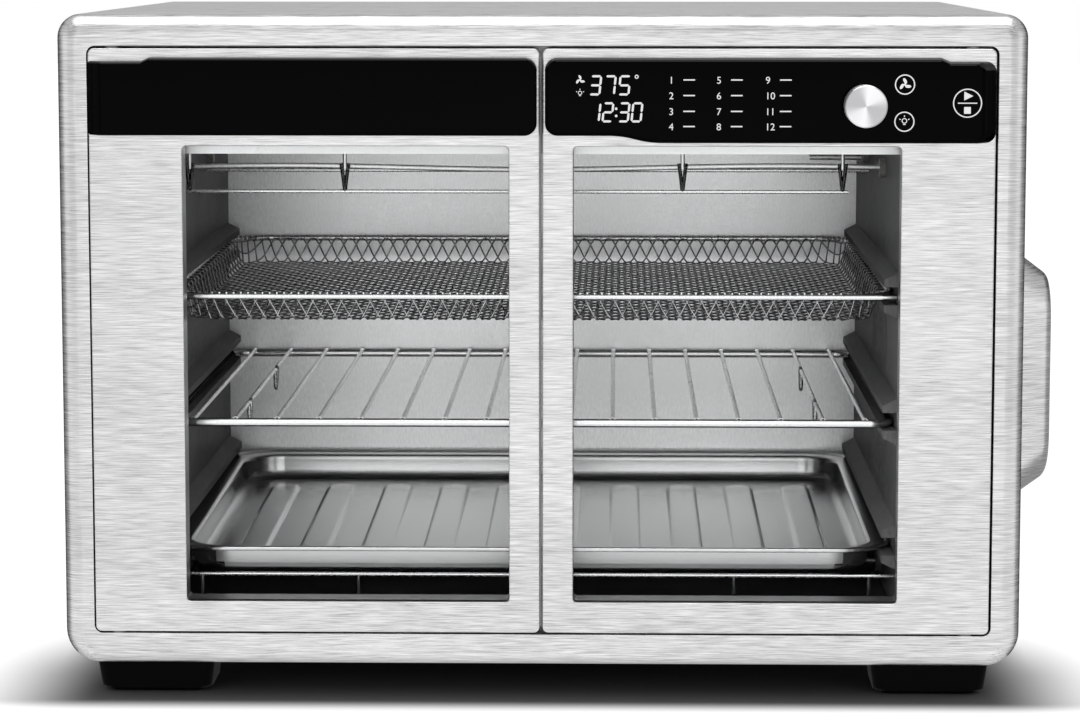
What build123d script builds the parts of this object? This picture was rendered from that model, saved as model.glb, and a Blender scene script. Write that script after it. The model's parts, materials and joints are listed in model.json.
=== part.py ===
from build123d import *
import math
import os

os.makedirs("parts", exist_ok=True)

# Cabinet, in millimetres. Depths run back from the front face, heights up from the table.
cabinet_width = 465.0
cabinet_top = 333.0
cabinet_depth = 365.0
foot_height = 16.8
top_corner = 11.5
bottom_corner = 17.0
front_roll = 9.5
roll_lap = 1.5
skin = 1.2
fit = 0.05
frame_side = 14.5
frame_top = 15.2
frame_bottom = 15.7
jamb_depth = 24.2
jamb_corner = 4.0
base_flange = 56.0
base_vent_length = 60.0
base_vent_width = 5.0
base_vent_pitch = 14.0
base_vent_columns = 16
base_vent_rows = 2

# Doors and their windows
door_gap = 1.2
centre_gap = 1.5
door_depth = 20.0
door_corner = 3.0
door_edge = 0.8
meeting_taper = 1.2
stile_inner = 14.75
stile_outer = 43.8
rail_top = 46.5
rail_bottom = 15.0
window_corner = 2.0
glass_thickness = 4.0
glass_overlap = 6.0
gasket_thickness = 0.8

# Door hinges: a pin at the top and bottom of each door turns in a flanged bush in the frame
hinge_inset = 11.0
hinge_depth = 4.0
pin_radius = 1.75
pin_clearance = 0.06
pin_hole_clearance = 0.3
pin_tip_gap = 0.6
pivot_half = 8.0
pivot_height = 14.0
bush_wall = 0.8
bush_flange = 0.7
bush_length = 6.0
seat_clearance = 0.1
bracket_half = 9.0
bracket_front = 1.8

# Black panels across the top of each door
panel_proud = 6.5
panel_below_door_top = 4.6
panel_height = 36.6
panel_end_gap = 1.2
panel_corner = 6.0
panel_lip = 1.8
lip_slope = 4.0
left_lip_start = 23.0
right_lip_start = 10.0
panel_drop = 3.4
drop_start = 38.0
drop_end = 52.0
pocket_width = 40.0
pocket_height = 9.0
pocket_wall = 1.7
pocket_inset = 10.0

# Controls on the right-hand panel
knob_from_outer = 63.1
knob_below_top = 21.9
knob_radius = 10.0
knob_height = 13.7
knob_gap = 0.3
knob_edge = 1.0
knob_bore_depth = 10.0
shaft_radius = 3.0
shaft_clearance = 0.06
encoder_bush_radius = 4.2
encoder_body = 13.0
encoder_depth = 5.0
board_depth = 7.0
board_thickness = 1.6
board_margin = 12.0
board_rim = 4.0
post_radius = 2.2
display_width = 34.0
display_height = 26.0
display_depth = 4.5
display_from_centre = 20.0

# Oven cavity
left_space = 44.5
right_space = 58.5
roof_space = 68.0
floor_space = 21.2
rear_space = 25.0
cavity_sheet = 0.8
flange_clear = 2.0
flange_screw_radius = 3.0
flange_screw_head = 1.4
flange_screw_inset = 47.0
catch_width = 20.0
catch_height = 12.0
catch_from_centre = 8.0
catch_above_cavity = 12.0
catch_clearance = 0.4

# Shelf ribs pressed into the side walls
lowest_shelf = 28.8
shelf_pitch = 62.0
shelf_count = 3
rib_reach = 7.0
rib_height = 7.0
rib_channel = 9.0
rib_end = 6.0
rest_gap = 0.2

# Heating tubes, their ceramic sleeves and the wire guards
heater_radius = 2.0
heater_drop = 13.0
heater_rise = 9.5
heater_front = 100.0
heater_rear = 219.0
heater_stub = 12.0
sleeve_radius = 5.0
sleeve_flange = 2.0
sleeve_inside = 3.0
sleeve_outside = 6.0
guard_radius = 1.1
guard_gap = 12.0
guard_setback = 4.0
hanger_half = 2.4
left_hanger_insets = (12.0, 92.0)
right_hanger_insets = (104.0, 22.0)
lower_guard_rise = 16.0
lower_guard_front = 20.0
lower_guard_rear = 295.0

# Convection fan, its drum, motor and the pressed cover on the right-hand side
fan_depth = 150.0
fan_height = 148.0
fan_radius = 60.0
fan_blades = 9
blade_width = 14.0
blade_thickness = 1.4
blade_lean = 24.0
hub_radius = 9.0
drum_clearance = 7.0
drum_depth = 26.0
drum_sheet = 1.0
fan_shaft_radius = 3.0
motor_radius = 26.0
motor_length = 36.0
motor_standoff = 5.0
motor_post_radius = 3.0
motor_posts = 4
motor_post_start = 45.0
cover_length = 168.0
cover_height = 124.0
cover_corner = 16.0
bulge_out = 22.5
cover_taper = 26.0
cover_round = 7.0
cover_lip = 6.0
grille_slots = 11
grille_pitch = 9.0
grille_slot_width = 4.0
grille_slot_height = 28.0

# Power board and temperature probe
power_length = 80.0
power_height = 100.0
power_from_rear = 30.0
power_standoff = 15.0
power_above_floor = 52.0
relay_size = 20.0
relay_height = 14.0
probe_radius = 1.6
probe_length = 30.0
probe_from_rear = 40.0
probe_below_ceiling = 18.0
probe_nut = 4.5

# Removable cookware
tray_side_gap = 2.0
tray_front_gap = 12.8
tray_rear_gap = 2.5
rack_wire = 2.1
rack_corner = 10.0
rack_rods = 17
rack_pitch = 20.75
rack_rod_wire = 1.1
dip_depth = 10.0
dip_half = 6.0
dip_front = 70.0
dip_rear = 209.0
basket_rim_wire = 1.5
basket_corner = 27.0
basket_depth = 14.5
basket_taper = 22.0
basket_wire = 1.0
basket_rib_gap = 0.5
net_columns = 20
net_rows = 14
net_bar = 2.6
pan_flange = 11.0
pan_corner = 20.0
pan_depth = 13.0
pan_taper = 20.0
pan_sheet = 0.9
pan_bead = 1.3
pan_ribs = 10
pan_rib_pitch = 32.0
pan_rib_width = 16.0
pan_rib_height = 1.6
pan_rib_margin = 26.0
crumb_sheet = 0.8
crumb_gap = 1.5
crumb_lip = 5.0

# Feet, back panel and cord gland
foot_width = 58.0
foot_length = 46.0
foot_inset = 13.5
foot_front = 15.0
foot_rear = 20.0
foot_draft = 2.0
foot_corner = 5.0
pad_height = 2.0
pad_border = 6.0
louvre_width = 46.0
louvre_height = 4.0
louvre_rows = 9
louvre_pitch = 11.0
louvre_columns = 4
louvre_spacing = 70.0
gland_radius = 8.0
gland_flange = 3.5
gland_bore = 3.8
gland_reach = 9.0
gland_from_left = 70.0
gland_above_base = 40.0
screw_radius = 3.0
screw_head = 1.6
screw_shank = 1.5
screw_length = 6.0
screw_inset = 9.0

# Places worked out from the sizes above
half = cabinet_width / 2
cabinet_bottom = foot_height
opening_half = half - frame_side
opening_bottom = cabinet_bottom + frame_bottom
opening_top = cabinet_top - frame_top
door_outer = opening_half - door_gap
door_inner = centre_gap / 2
door_bottom = opening_bottom + door_gap
door_top = opening_top - door_gap
window_inner = door_inner + stile_inner
window_outer = door_outer - stile_outer
window_bottom = door_bottom + rail_bottom
window_top = door_top - rail_top
glass_front = skin + gasket_thickness
glass_back = glass_front + glass_thickness
hinge_x = door_outer - hinge_inset
swing_radius = math.hypot(hinge_inset, hinge_depth)
bush_radius = pin_radius + pin_clearance + bush_wall
panel_top = door_top - panel_below_door_top
panel_bottom = panel_top - panel_height
knob_x = door_outer - knob_from_outer
knob_z = panel_top - knob_below_top
frame_return = front_roll + roll_lap
cavity_left = left_space - half
cavity_right = half - right_space
cavity_middle = (cavity_left + cavity_right) / 2
cavity_front = jamb_depth + skin
cavity_back = cabinet_depth - rear_space
cavity_floor = cabinet_bottom + floor_space
cavity_ceiling = cabinet_top - roof_space
shelf_tops = [cavity_floor + lowest_shelf + shelf * shelf_pitch for shelf in range(shelf_count)]
tray_width = cavity_right - cavity_left - 2 * tray_side_gap
tray_length = cavity_back - tray_rear_gap - cavity_front - tray_front_gap
tray_middle = (cavity_back - tray_rear_gap + cavity_front + tray_front_gap) / 2
heater_places = [
    (cavity_front + depth, height)
    for height in (cavity_ceiling - heater_drop, cavity_floor + heater_rise)
    for depth in (heater_front, heater_rear)
]
hanger_places = [cavity_left + inset for inset in left_hanger_insets]
hanger_places += [cavity_right - inset for inset in right_hanger_insets]
drum_face = cavity_right + cavity_sheet
drum_back = drum_face + drum_depth

# The origin is on the table, under the middle of the whole oven's box
mid_x = -bulge_out / 2
front_y = (panel_proud + knob_gap + knob_height - cabinet_depth - gland_reach) / 2


def at(x, y, z):
    return (mid_x + x, front_y + y, z)


def facing(y):
    return Plane(origin=at(0, y, 0), x_dir=(1, 0, 0), z_dir=(0, -1, 0))


def level(z):
    return Plane(origin=at(0, 0, z))


def beside(x):
    return Plane(origin=at(x, 0, 0), x_dir=(0, 1, 0), z_dir=(1, 0, 0))


def block(xs, ys, zs, mode=Mode.ADD):
    middle = [sum(pair) / 2 for pair in (xs, ys, zs)]
    with Locations(at(*middle)):
        Box(abs(xs[1] - xs[0]), abs(ys[1] - ys[0]), abs(zs[1] - zs[0]), mode=mode)


def rod(start, direction, radius, length, mode=Mode.ADD):
    with Locations(Plane(origin=at(*start), z_dir=direction)):
        Cylinder(radius, length, align=(Align.CENTER, Align.CENTER, Align.MIN), mode=mode)


def wire(path, radius):
    with BuildSketch(Plane(origin=path @ 0, z_dir=path % 0)) as section:
        Circle(radius)
    sweep(section.sketch, path=path)


def rounded(plane, place, width, height, radius):
    with BuildSketch(plane) as outline:
        with Locations(place):
            RectangleRounded(width, height, radius)
    return outline.sketch


def cabinet_outline(y, inset):
    with BuildSketch(facing(y)) as outline:
        with Locations((0, (cabinet_bottom + cabinet_top) / 2)):
            Rectangle(cabinet_width - 2 * inset, cabinet_top - cabinet_bottom - 2 * inset)
        fillet(outline.vertices().group_by(Axis.Y)[-1], top_corner - inset)
        fillet(outline.vertices().group_by(Axis.Y)[0], bottom_corner - inset)
    return outline.sketch


def jamb_outline(y, grow):
    height = opening_top - opening_bottom + 2 * grow
    place = (0, (opening_top + opening_bottom) / 2)
    return rounded(facing(y), place, 2 * (opening_half + grow), height, jamb_corner + grow)


def window_outline(y, hand, grow):
    place = (hand * (window_inner + window_outer) / 2, (window_bottom + window_top) / 2)
    width = window_outer - window_inner + 2 * grow
    return rounded(facing(y), place, width, window_top - window_bottom + 2 * grow, window_corner + grow)


def cover_outline(x, grow):
    length = cover_length + 2 * grow
    return rounded(beside(x), (fan_depth, fan_height), length, cover_height + 2 * grow, cover_corner + grow)


def tub(z, width, length, corner, depth, taper):
    outline = rounded(level(z), (cavity_middle, tray_middle), width, length, corner)
    extrude(outline, amount=-depth, taper=taper)


def tub_hollow(z, width, length, corner, depth, taper, wall):
    outline = rounded(level(z), (cavity_middle, tray_middle), width - 2 * wall, length - 2 * wall, corner - wall)
    extrude(outline, amount=wall - depth, taper=taper, mode=Mode.SUBTRACT)


def keep(part, name):
    part.label = name
    export_step(part, f"parts/{name}.step")


# Front frame: rolled outer edge, flat face and a jamb that the doors close into
with BuildPart() as frame_hollow:
    extrude(cabinet_outline(skin, skin), amount=-frame_return)
    fillet(frame_hollow.faces().sort_by(Axis.Y)[0].edges(), front_roll - skin)

with BuildPart() as front_frame:
    extrude(cabinet_outline(0, 0), amount=-frame_return)
    fillet(front_frame.faces().sort_by(Axis.Y)[0].edges(), front_roll)
    add(frame_hollow.part, mode=Mode.SUBTRACT)
    extrude(jamb_outline(0, skin), amount=-jamb_depth)
    extrude(jamb_outline(0, 0), amount=-jamb_depth, mode=Mode.SUBTRACT)
    for hand in (-1, 1):
        lower = (hand * hinge_x, hinge_depth, opening_bottom - skin)
        rod(lower, (0, 0, 1), bush_radius + fit, opening_top - opening_bottom + 2 * skin, Mode.SUBTRACT)
keep(front_frame.part, "front_frame")

# Wrap: top, sides and the bottom flanges that the feet stand under
with BuildPart() as outer_wrap:
    extrude(cabinet_outline(frame_return, 0), amount=frame_return - cabinet_depth)
    extrude(cabinet_outline(frame_return, skin), amount=frame_return - cabinet_depth, mode=Mode.SUBTRACT)
    flange_inner = half - bottom_corner - base_flange
    block(
        (-flange_inner, flange_inner),
        (frame_return, cabinet_depth),
        (cabinet_bottom, cabinet_bottom + skin),
        Mode.SUBTRACT,
    )
    extrude(cover_outline(half - skin, 0), amount=skin, mode=Mode.SUBTRACT)
keep(outer_wrap.part, "outer_wrap")

# Base plate on the wrap's flanges, with rows of vents
base_half = half - bottom_corner
base_front = frame_return + skin
base_back = cabinet_depth - skin - fit
with BuildPart() as base_plate:
    base_under = cabinet_bottom + skin
    block((-base_half, base_half), (base_front, base_back), (base_under, base_under + skin))
    with BuildSketch(level(base_under)) as base_vents:
        with Locations((0, (base_front + base_back) / 2)):
            with GridLocations(base_vent_pitch, 2 * base_vent_length, base_vent_columns, base_vent_rows):
                SlotOverall(base_vent_length, base_vent_width, rotation=90)
    extrude(base_vents.sketch, amount=skin, mode=Mode.SUBTRACT)
keep(base_plate.part, "base_plate")

# Back panel with louvre slots, set inside the wrap's rear edge
back_front = cabinet_depth - skin
gland_place = (gland_from_left - half, cabinet_bottom + gland_above_base)
screw_half = half - skin - screw_inset
screw_places = [
    (x, z)
    for x in (-screw_half, 0, screw_half)
    for z in (cabinet_bottom + skin + screw_inset, cabinet_top - skin - screw_inset)
]
with BuildPart() as back_panel:
    extrude(cabinet_outline(back_front, skin + fit), amount=-skin)
    with BuildSketch(facing(back_front)) as back_cuts:
        with Locations((0, (cabinet_bottom + cabinet_top) / 2)):
            with GridLocations(louvre_spacing, louvre_pitch, louvre_columns, louvre_rows):
                SlotOverall(louvre_width, louvre_height)
        with Locations(gland_place):
            Circle(gland_radius + fit)
        with Locations(*screw_places):
            Circle(screw_shank + fit)
    extrude(back_cuts.sketch, amount=-skin, mode=Mode.SUBTRACT)
keep(back_panel.part, "back_panel")

with BuildPart() as cord_gland:
    gland_x, gland_z = gland_place
    rod((gland_x, back_front - skin, gland_z), (0, 1, 0), gland_radius + gland_flange, skin)
    rod((gland_x, back_front, gland_z), (0, 1, 0), gland_radius, skin + gland_reach)
    rod((gland_x, back_front - skin, gland_z), (0, 1, 0), gland_bore, 2 * skin + gland_reach, Mode.SUBTRACT)
    chamfer(cord_gland.edges().filter_by(GeomType.CIRCLE).sort_by(Axis.Y)[-1], skin)
keep(cord_gland.part, "cord_gland")

with BuildPart() as back_screws:
    for x, z in screw_places:
        rod((x, cabinet_depth, z), (0, 1, 0), screw_radius, screw_head)
        rod((x, cabinet_depth, z), (0, -1, 0), screw_shank, screw_length)
keep(back_screws.part, "back_screws")

# Pressed cover over the fan motor, standing out through the right-hand side
with BuildPart() as motor_cover:
    extrude(cover_outline(half - skin, -fit), amount=skin + bulge_out, taper=cover_taper)
    fillet(motor_cover.faces().sort_by(Axis.X)[-1].edges(), cover_round)
    extrude(cover_outline(half - 2 * skin, cover_lip), amount=skin)
    hollow = cover_outline(half - 2 * skin, -skin - fit)
    extrude(hollow, amount=skin + bulge_out, taper=cover_taper, mode=Mode.SUBTRACT)
keep(motor_cover.part, "motor_cover")

# Feet with rubber pads
foot_far = cabinet_depth - foot_rear - foot_length / 2
foot_near = foot_front + foot_length / 2
foot_places = {
    "front_left_foot": (-1, foot_near),
    "front_right_foot": (1, foot_near),
    "rear_left_foot": (-1, foot_far),
    "rear_right_foot": (1, foot_far),
}
foot_x = half - foot_inset - foot_width / 2
for name, (hand, depth) in foot_places.items():
    with BuildPart() as foot:
        place = (hand * foot_x, depth)
        top = rounded(level(foot_height), place, foot_width, foot_length, foot_corner)
        narrow = 2 * foot_draft
        bottom = rounded(level(pad_height), place, foot_width - narrow, foot_length - narrow, foot_corner)
        loft([bottom, top])
    keep(foot.part, name)

with BuildPart() as foot_pads:
    for hand, depth in foot_places.values():
        border = 2 * pad_border
        pad = rounded(level(0), (hand * foot_x, depth), foot_width - border, foot_length - border, foot_corner)
        extrude(pad, amount=pad_height)
keep(foot_pads.part, "foot_pads")

# Brackets and flanged bushes that carry the door pins in the frame
bracket_height = bush_length - skin
hinge_ends = ((opening_bottom, -1), (opening_top, 1))
with BuildPart() as hinge_brackets:
    for hand in (-1, 1):
        for edge, outward in hinge_ends:
            near = edge + outward * skin
            x = hand * hinge_x
            block(
                (x - bracket_half, x + bracket_half),
                (bracket_front, jamb_depth),
                (near, near + outward * bracket_height),
            )
            rod((x, hinge_depth, near), (0, 0, outward), bush_radius + fit, bracket_height, Mode.SUBTRACT)
keep(hinge_brackets.part, "hinge_brackets")

with BuildPart() as hinge_bushes:
    flange_height = door_gap - seat_clearance
    for hand in (-1, 1):
        for edge, outward in hinge_ends:
            foot = edge - outward * flange_height
            start = (hand * hinge_x, hinge_depth, foot)
            rod(start, (0, 0, outward), bush_radius + bush_flange, flange_height)
            rod(start, (0, 0, outward), bush_radius, flange_height + bush_length)
            rod(start, (0, 0, outward), pin_radius + pin_clearance, flange_height + bush_length, Mode.SUBTRACT)
keep(hinge_bushes.part, "hinge_bushes")

# Doors: each has a steel skin, a liner, a glass pane on a gasket, hinge pivots and screws
board_left = board_margin
board_right = hinge_x - pivot_half - board_rim
board_low = panel_bottom + board_rim
board_high = panel_top - board_rim
door_screw_rows = (window_top + rail_top / 2, window_bottom - rail_bottom / 2)
door_screw_columns = (window_inner, (window_inner + window_outer) / 2, window_outer)
for name, hand in (("left", -1), ("right", 1)):
    with BuildPart() as door_skin:
        with BuildSketch(level(door_bottom)) as door_plan:
            with BuildLine():
                Polyline(
                    (hand * door_inner, 0),
                    (hand * door_outer, 0),
                    (hand * door_outer, door_depth),
                    (hand * (door_inner + meeting_taper), door_depth),
                    close=True,
                )
            make_face()
        extrude(door_plan.sketch, amount=door_top - door_bottom)
        fillet(door_skin.edges().filter_by(lambda edge: abs((edge % 0.5).Y) > 0.9), door_corner)
        fillet(door_skin.faces().sort_by(Axis.Y)[0].edges(), door_edge)
        block(
            (hand * (door_inner + meeting_taper + skin), hand * (door_outer - skin)),
            (skin, door_depth),
            (door_bottom + skin, door_top - skin),
            Mode.SUBTRACT,
        )
        extrude(window_outline(0, hand, 0), amount=-skin, mode=Mode.SUBTRACT)
        lower = (hand * hinge_x, hinge_depth, door_bottom)
        rod(lower, (0, 0, 1), pin_radius + pin_hole_clearance, door_top - door_bottom, Mode.SUBTRACT)
        if hand > 0:
            block((board_left, board_right), (0, skin), (board_low, board_high), Mode.SUBTRACT)
    keep(door_skin.part, f"{name}_door_skin")

    with BuildPart() as door_liner:
        block(
            (hand * (door_inner + meeting_taper + skin + fit), hand * (door_outer - skin - fit)),
            (door_depth - skin, door_depth),
            (door_bottom + skin + fit, door_top - skin - fit),
        )
        extrude(window_outline(glass_back, hand, skin), amount=glass_back - door_depth)
        extrude(window_outline(glass_back, hand, 0), amount=glass_back - door_depth, mode=Mode.SUBTRACT)
        for z in door_screw_rows:
            for x in door_screw_columns:
                rod((hand * x, door_depth - skin, z), (0, 1, 0), screw_shank + fit, skin, Mode.SUBTRACT)
    keep(door_liner.part, f"{name}_door_liner")

    with BuildPart() as door_screws:
        for z in door_screw_rows:
            for x in door_screw_columns:
                rod((hand * x, door_depth, z), (0, 1, 0), screw_radius, screw_head)
                rod((hand * x, door_depth, z), (0, -1, 0), screw_shank, screw_length)
    keep(door_screws.part, f"{name}_door_screws")

    with BuildPart() as door_glass:
        extrude(window_outline(glass_front, hand, glass_overlap), amount=-glass_thickness)
    keep(door_glass.part, f"{name}_door_glass")

    with BuildPart() as glass_gasket:
        extrude(window_outline(skin, hand, glass_overlap), amount=-gasket_thickness)
        extrude(window_outline(skin, hand, 0), amount=-gasket_thickness, mode=Mode.SUBTRACT)
    keep(glass_gasket.part, f"{name}_glass_gasket")

    with BuildPart() as hinge_pivots:
        for edge, outward in ((door_bottom, -1), (door_top, 1)):
            seat = edge - outward * skin
            x = hand * hinge_x
            block(
                (x - pivot_half, x + pivot_half),
                (skin, door_depth - skin),
                (seat, seat - outward * pivot_height),
            )
            reach = skin + door_gap + bush_length - pin_tip_gap
            rod((x, hinge_depth, seat), (0, 0, outward), pin_radius, reach)
    keep(hinge_pivots.part, f"{name}_hinge_pivots")

# Panels: black mouldings whose outer ends follow the door's swing, with a finger pocket below
swing_front = math.sqrt(swing_radius**2 - (hinge_depth + panel_proud) ** 2)
for name, hand in (("left", -1), ("right", 1)):
    drop = panel_drop if hand > 0 else 0
    lip_start = right_lip_start if hand > 0 else left_lip_start
    panel_end = door_inner + panel_end_gap
    with BuildPart() as door_panel:
        with BuildSketch(level(panel_bottom - panel_drop)) as panel_plan:
            with BuildLine():
                Polyline(
                    (hand * door_outer, 0),
                    (hand * panel_end, 0),
                    (hand * panel_end, -panel_proud),
                    (hand * (hinge_x + swing_front), -panel_proud),
                )
                RadiusArc(
                    (hand * (hinge_x + swing_front), -panel_proud),
                    (hand * door_outer, 0),
                    -hand * swing_radius,
                )
            make_face()
        extrude(panel_plan.sketch, amount=panel_height + panel_drop + panel_lip)
        with BuildSketch(facing(0)) as panel_front:
            with BuildLine():
                Polyline(
                    (hand * panel_end, panel_bottom),
                    (hand * drop_start, panel_bottom),
                    (hand * drop_end, panel_bottom - drop),
                    (hand * door_outer, panel_bottom - drop),
                    (hand * door_outer, panel_top),
                    (hand * (door_outer - lip_start), panel_top),
                    (hand * (door_outer - lip_start - lip_slope), panel_top + panel_lip),
                    (hand * panel_end, panel_top + panel_lip),
                    close=True,
                )
            make_face()
            ends = panel_front.vertices().group_by(Axis.X)
            fillet(ends[0] + ends[-1] if hand > 0 else ends[-1], panel_corner)
        extrude(panel_front.sketch, amount=panel_proud, mode=Mode.INTERSECT)
        pocket_start = panel_end + pocket_inset
        block(
            (hand * pocket_start, hand * (pocket_start + pocket_width)),
            (pocket_wall - panel_proud, 0),
            (panel_bottom - panel_drop, panel_bottom + pocket_height),
            Mode.SUBTRACT,
        )
        if hand > 0:
            rod((knob_x, 0, knob_z), (0, -1, 0), encoder_bush_radius + fit, panel_proud, Mode.SUBTRACT)
            for x in (board_left + board_rim, board_right - board_rim):
                for z in (board_low + board_rim, board_high - board_rim):
                    rod((x, 0, z), (0, 1, 0), post_radius, board_depth)
    keep(door_panel.part, f"{name}_panel")

# Control board in the right-hand door, with its display, encoder, shaft and knob
board_front = board_depth
with BuildPart() as control_board:
    block(
        (board_left + fit, board_right - fit),
        (board_front, board_front + board_thickness),
        (board_low, board_high),
    )
    chamfer(control_board.edges().filter_by(Axis.Y), board_thickness)
keep(control_board.part, "control_board")

with BuildPart() as display_module:
    display_z = (panel_top + panel_bottom) / 2
    block(
        (display_from_centre, display_from_centre + display_width),
        (board_front - display_depth, board_front),
        (display_z - display_height / 2, display_z + display_height / 2),
    )
    fillet(display_module.edges().filter_by(Axis.Y), board_thickness)
keep(display_module.part, "display_module")

with BuildPart() as encoder:
    block(
        (knob_x - encoder_body / 2, knob_x + encoder_body / 2),
        (board_front - encoder_depth, board_front),
        (knob_z - encoder_body / 2, knob_z + encoder_body / 2),
    )
    bush_start = (knob_x, board_front - encoder_depth, knob_z)
    rod(bush_start, (0, -1, 0), encoder_bush_radius, board_front - encoder_depth + panel_proud - fit)
    bore_start = (knob_x, board_front - skin, knob_z)
    rod(bore_start, (0, -1, 0), shaft_radius + shaft_clearance, board_front + panel_proud, Mode.SUBTRACT)
keep(encoder.part, "encoder")

knob_back = -panel_proud - knob_gap
shaft_inner = board_front - skin - seat_clearance
with BuildPart() as encoder_shaft:
    shaft_length = shaft_inner - knob_back + knob_bore_depth - seat_clearance
    rod((knob_x, shaft_inner, knob_z), (0, -1, 0), shaft_radius, shaft_length)
keep(encoder_shaft.part, "encoder_shaft")

with BuildPart() as control_knob:
    rod((knob_x, knob_back, knob_z), (0, -1, 0), knob_radius, knob_height)
    chamfer(control_knob.edges().sort_by(Axis.Y)[0], knob_edge)
    rod((knob_x, knob_back, knob_z), (0, -1, 0), shaft_radius + fit / 2, knob_bore_depth, Mode.SUBTRACT)
keep(control_knob.part, "control_knob")

# Front flange of the cavity, fixed to the back of the jamb, with its screws and door catches
with BuildPart() as cavity_flange:
    extrude(cabinet_outline(jamb_depth, skin + flange_clear), amount=-skin)
    block(
        (cavity_left, cavity_right),
        (jamb_depth, cavity_front),
        (cavity_floor, cavity_ceiling),
        Mode.SUBTRACT,
    )
    flange_screw_z = cavity_ceiling + flange_screw_radius
    flange_screw_x = (cavity_left + flange_screw_inset, cavity_right - flange_screw_inset)
    for x in flange_screw_x:
        rod((x, jamb_depth, flange_screw_z), (0, 1, 0), screw_shank + fit, skin, Mode.SUBTRACT)
keep(cavity_flange.part, "cavity_flange")

with BuildPart() as flange_screws:
    for x in flange_screw_x:
        rod((x, jamb_depth, flange_screw_z), (0, -1, 0), flange_screw_radius, flange_screw_head)
        rod((x, jamb_depth, flange_screw_z), (0, 1, 0), screw_shank, screw_length)
keep(flange_screws.part, "flange_screws")

with BuildPart() as door_catches:
    catch_low = cavity_ceiling + catch_above_cavity
    for hand in (-1, 1):
        block(
            (hand * catch_from_centre, hand * (catch_from_centre + catch_width)),
            (door_depth + catch_clearance, jamb_depth),
            (catch_low, catch_low + catch_height),
        )
keep(door_catches.part, "door_catches")


# Cavity walls with pressed shelf ribs, holes for the heater sleeves and the fan grille
def side_wall(inner, hand):
    block(
        (inner, inner + hand * cavity_sheet),
        (cavity_front, cavity_back + cavity_sheet),
        (cavity_floor, cavity_ceiling),
    )
    tip = inner - hand * rib_reach
    for shelf in shelf_tops:
        for flat, outward in ((shelf, -1), (shelf + rib_channel, 1)):
            with BuildSketch(facing(cavity_front + rib_end)) as rib:
                with BuildLine():
                    Polyline(
                        (inner, flat),
                        (tip, flat),
                        (tip, flat + outward * rib_height / 2),
                        (inner, flat + outward * rib_height),
                        close=True,
                    )
                make_face()
            extrude(rib.sketch, amount=cavity_front + 2 * rib_end - cavity_back)
    for depth, height in heater_places:
        rod((inner, depth, height), (hand, 0, 0), sleeve_radius + fit, cavity_sheet, Mode.SUBTRACT)


with BuildPart() as cavity_left_wall:
    side_wall(cavity_left, -1)
keep(cavity_left_wall.part, "cavity_left_wall")

probe_place = (cavity_back - probe_from_rear, cavity_ceiling - probe_below_ceiling)
with BuildPart() as cavity_right_wall:
    side_wall(cavity_right, 1)
    with BuildSketch(beside(cavity_right)) as grille:
        for lower, upper in zip(shelf_tops, shelf_tops[1:]):
            bay = (lower + rib_channel + upper) / 2
            with Locations((fan_depth, bay)):
                with GridLocations(grille_pitch, grille_pitch, grille_slots, 1):
                    SlotOverall(grille_slot_height, grille_slot_width, rotation=90)
        with Locations(probe_place):
            Circle(probe_radius + fit)
    extrude(grille.sketch, amount=cavity_sheet, mode=Mode.SUBTRACT)
keep(cavity_right_wall.part, "cavity_right_wall")

with BuildPart() as cavity_back_wall:
    block(
        (cavity_left, cavity_right),
        (cavity_back, cavity_back + cavity_sheet),
        (cavity_floor, cavity_ceiling),
    )
keep(cavity_back_wall.part, "cavity_back_wall")

for name, under in (("cavity_ceiling", cavity_ceiling), ("cavity_floor", cavity_floor - cavity_sheet)):
    with BuildPart() as cavity_plate:
        block(
            (cavity_left - cavity_sheet, cavity_right + cavity_sheet),
            (cavity_front, cavity_back + cavity_sheet),
            (under, under + cavity_sheet),
        )
    keep(cavity_plate.part, name)

# Heating tubes through ceramic sleeves in the side walls
for name, places in (("top_heaters", heater_places[:2]), ("bottom_heaters", heater_places[2:])):
    with BuildPart() as heaters:
        for depth, height in places:
            start = (cavity_left - heater_stub, depth, height)
            rod(start, (1, 0, 0), heater_radius, cavity_right - cavity_left + 2 * heater_stub)
    keep(heaters.part, name)

with BuildPart() as heater_sleeves:
    for depth, height in heater_places:
        for inner, hand in ((cavity_left, -1), (cavity_right, 1)):
            outer = inner + hand * cavity_sheet
            start = (inner - hand * sleeve_inside, depth, height)
            length = sleeve_inside + cavity_sheet + sleeve_outside
            rod(start, (hand, 0, 0), sleeve_radius, length)
            rod((outer, depth, height), (hand, 0, 0), sleeve_radius + sleeve_flange, sleeve_outside)
            rod(start, (hand, 0, 0), heater_radius + fit, length, Mode.SUBTRACT)
keep(heater_sleeves.part, "heater_sleeves")

# Wire guards: long wires from wall to wall, the upper ones on hangers, the lower ones on legs
with BuildPart() as top_guards:
    for depth, height in heater_places[:2]:
        y = depth - guard_setback
        z = height - guard_gap
        rod((cavity_left, y, z), (1, 0, 0), guard_radius, cavity_right - cavity_left)
        for x in hanger_places:
            for lean in (-1, 1):
                rise = cavity_ceiling - guard_radius - z
                direction = (lean * hanger_half, 0, rise)
                rod((x, y, z), direction, guard_radius, math.hypot(hanger_half, rise))
keep(top_guards.part, "top_guards")

with BuildPart() as bottom_guards:
    for depth in (cavity_front + lower_guard_front, cavity_front + lower_guard_rear):
        z = cavity_floor + lower_guard_rise
        rod((cavity_left, depth, z), (1, 0, 0), guard_radius, cavity_right - cavity_left)
        for x in hanger_places:
            rod((x, depth, z), (0, 0, -1), guard_radius, lower_guard_rise - crumb_sheet - rest_gap)
keep(bottom_guards.part, "bottom_guards")

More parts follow.
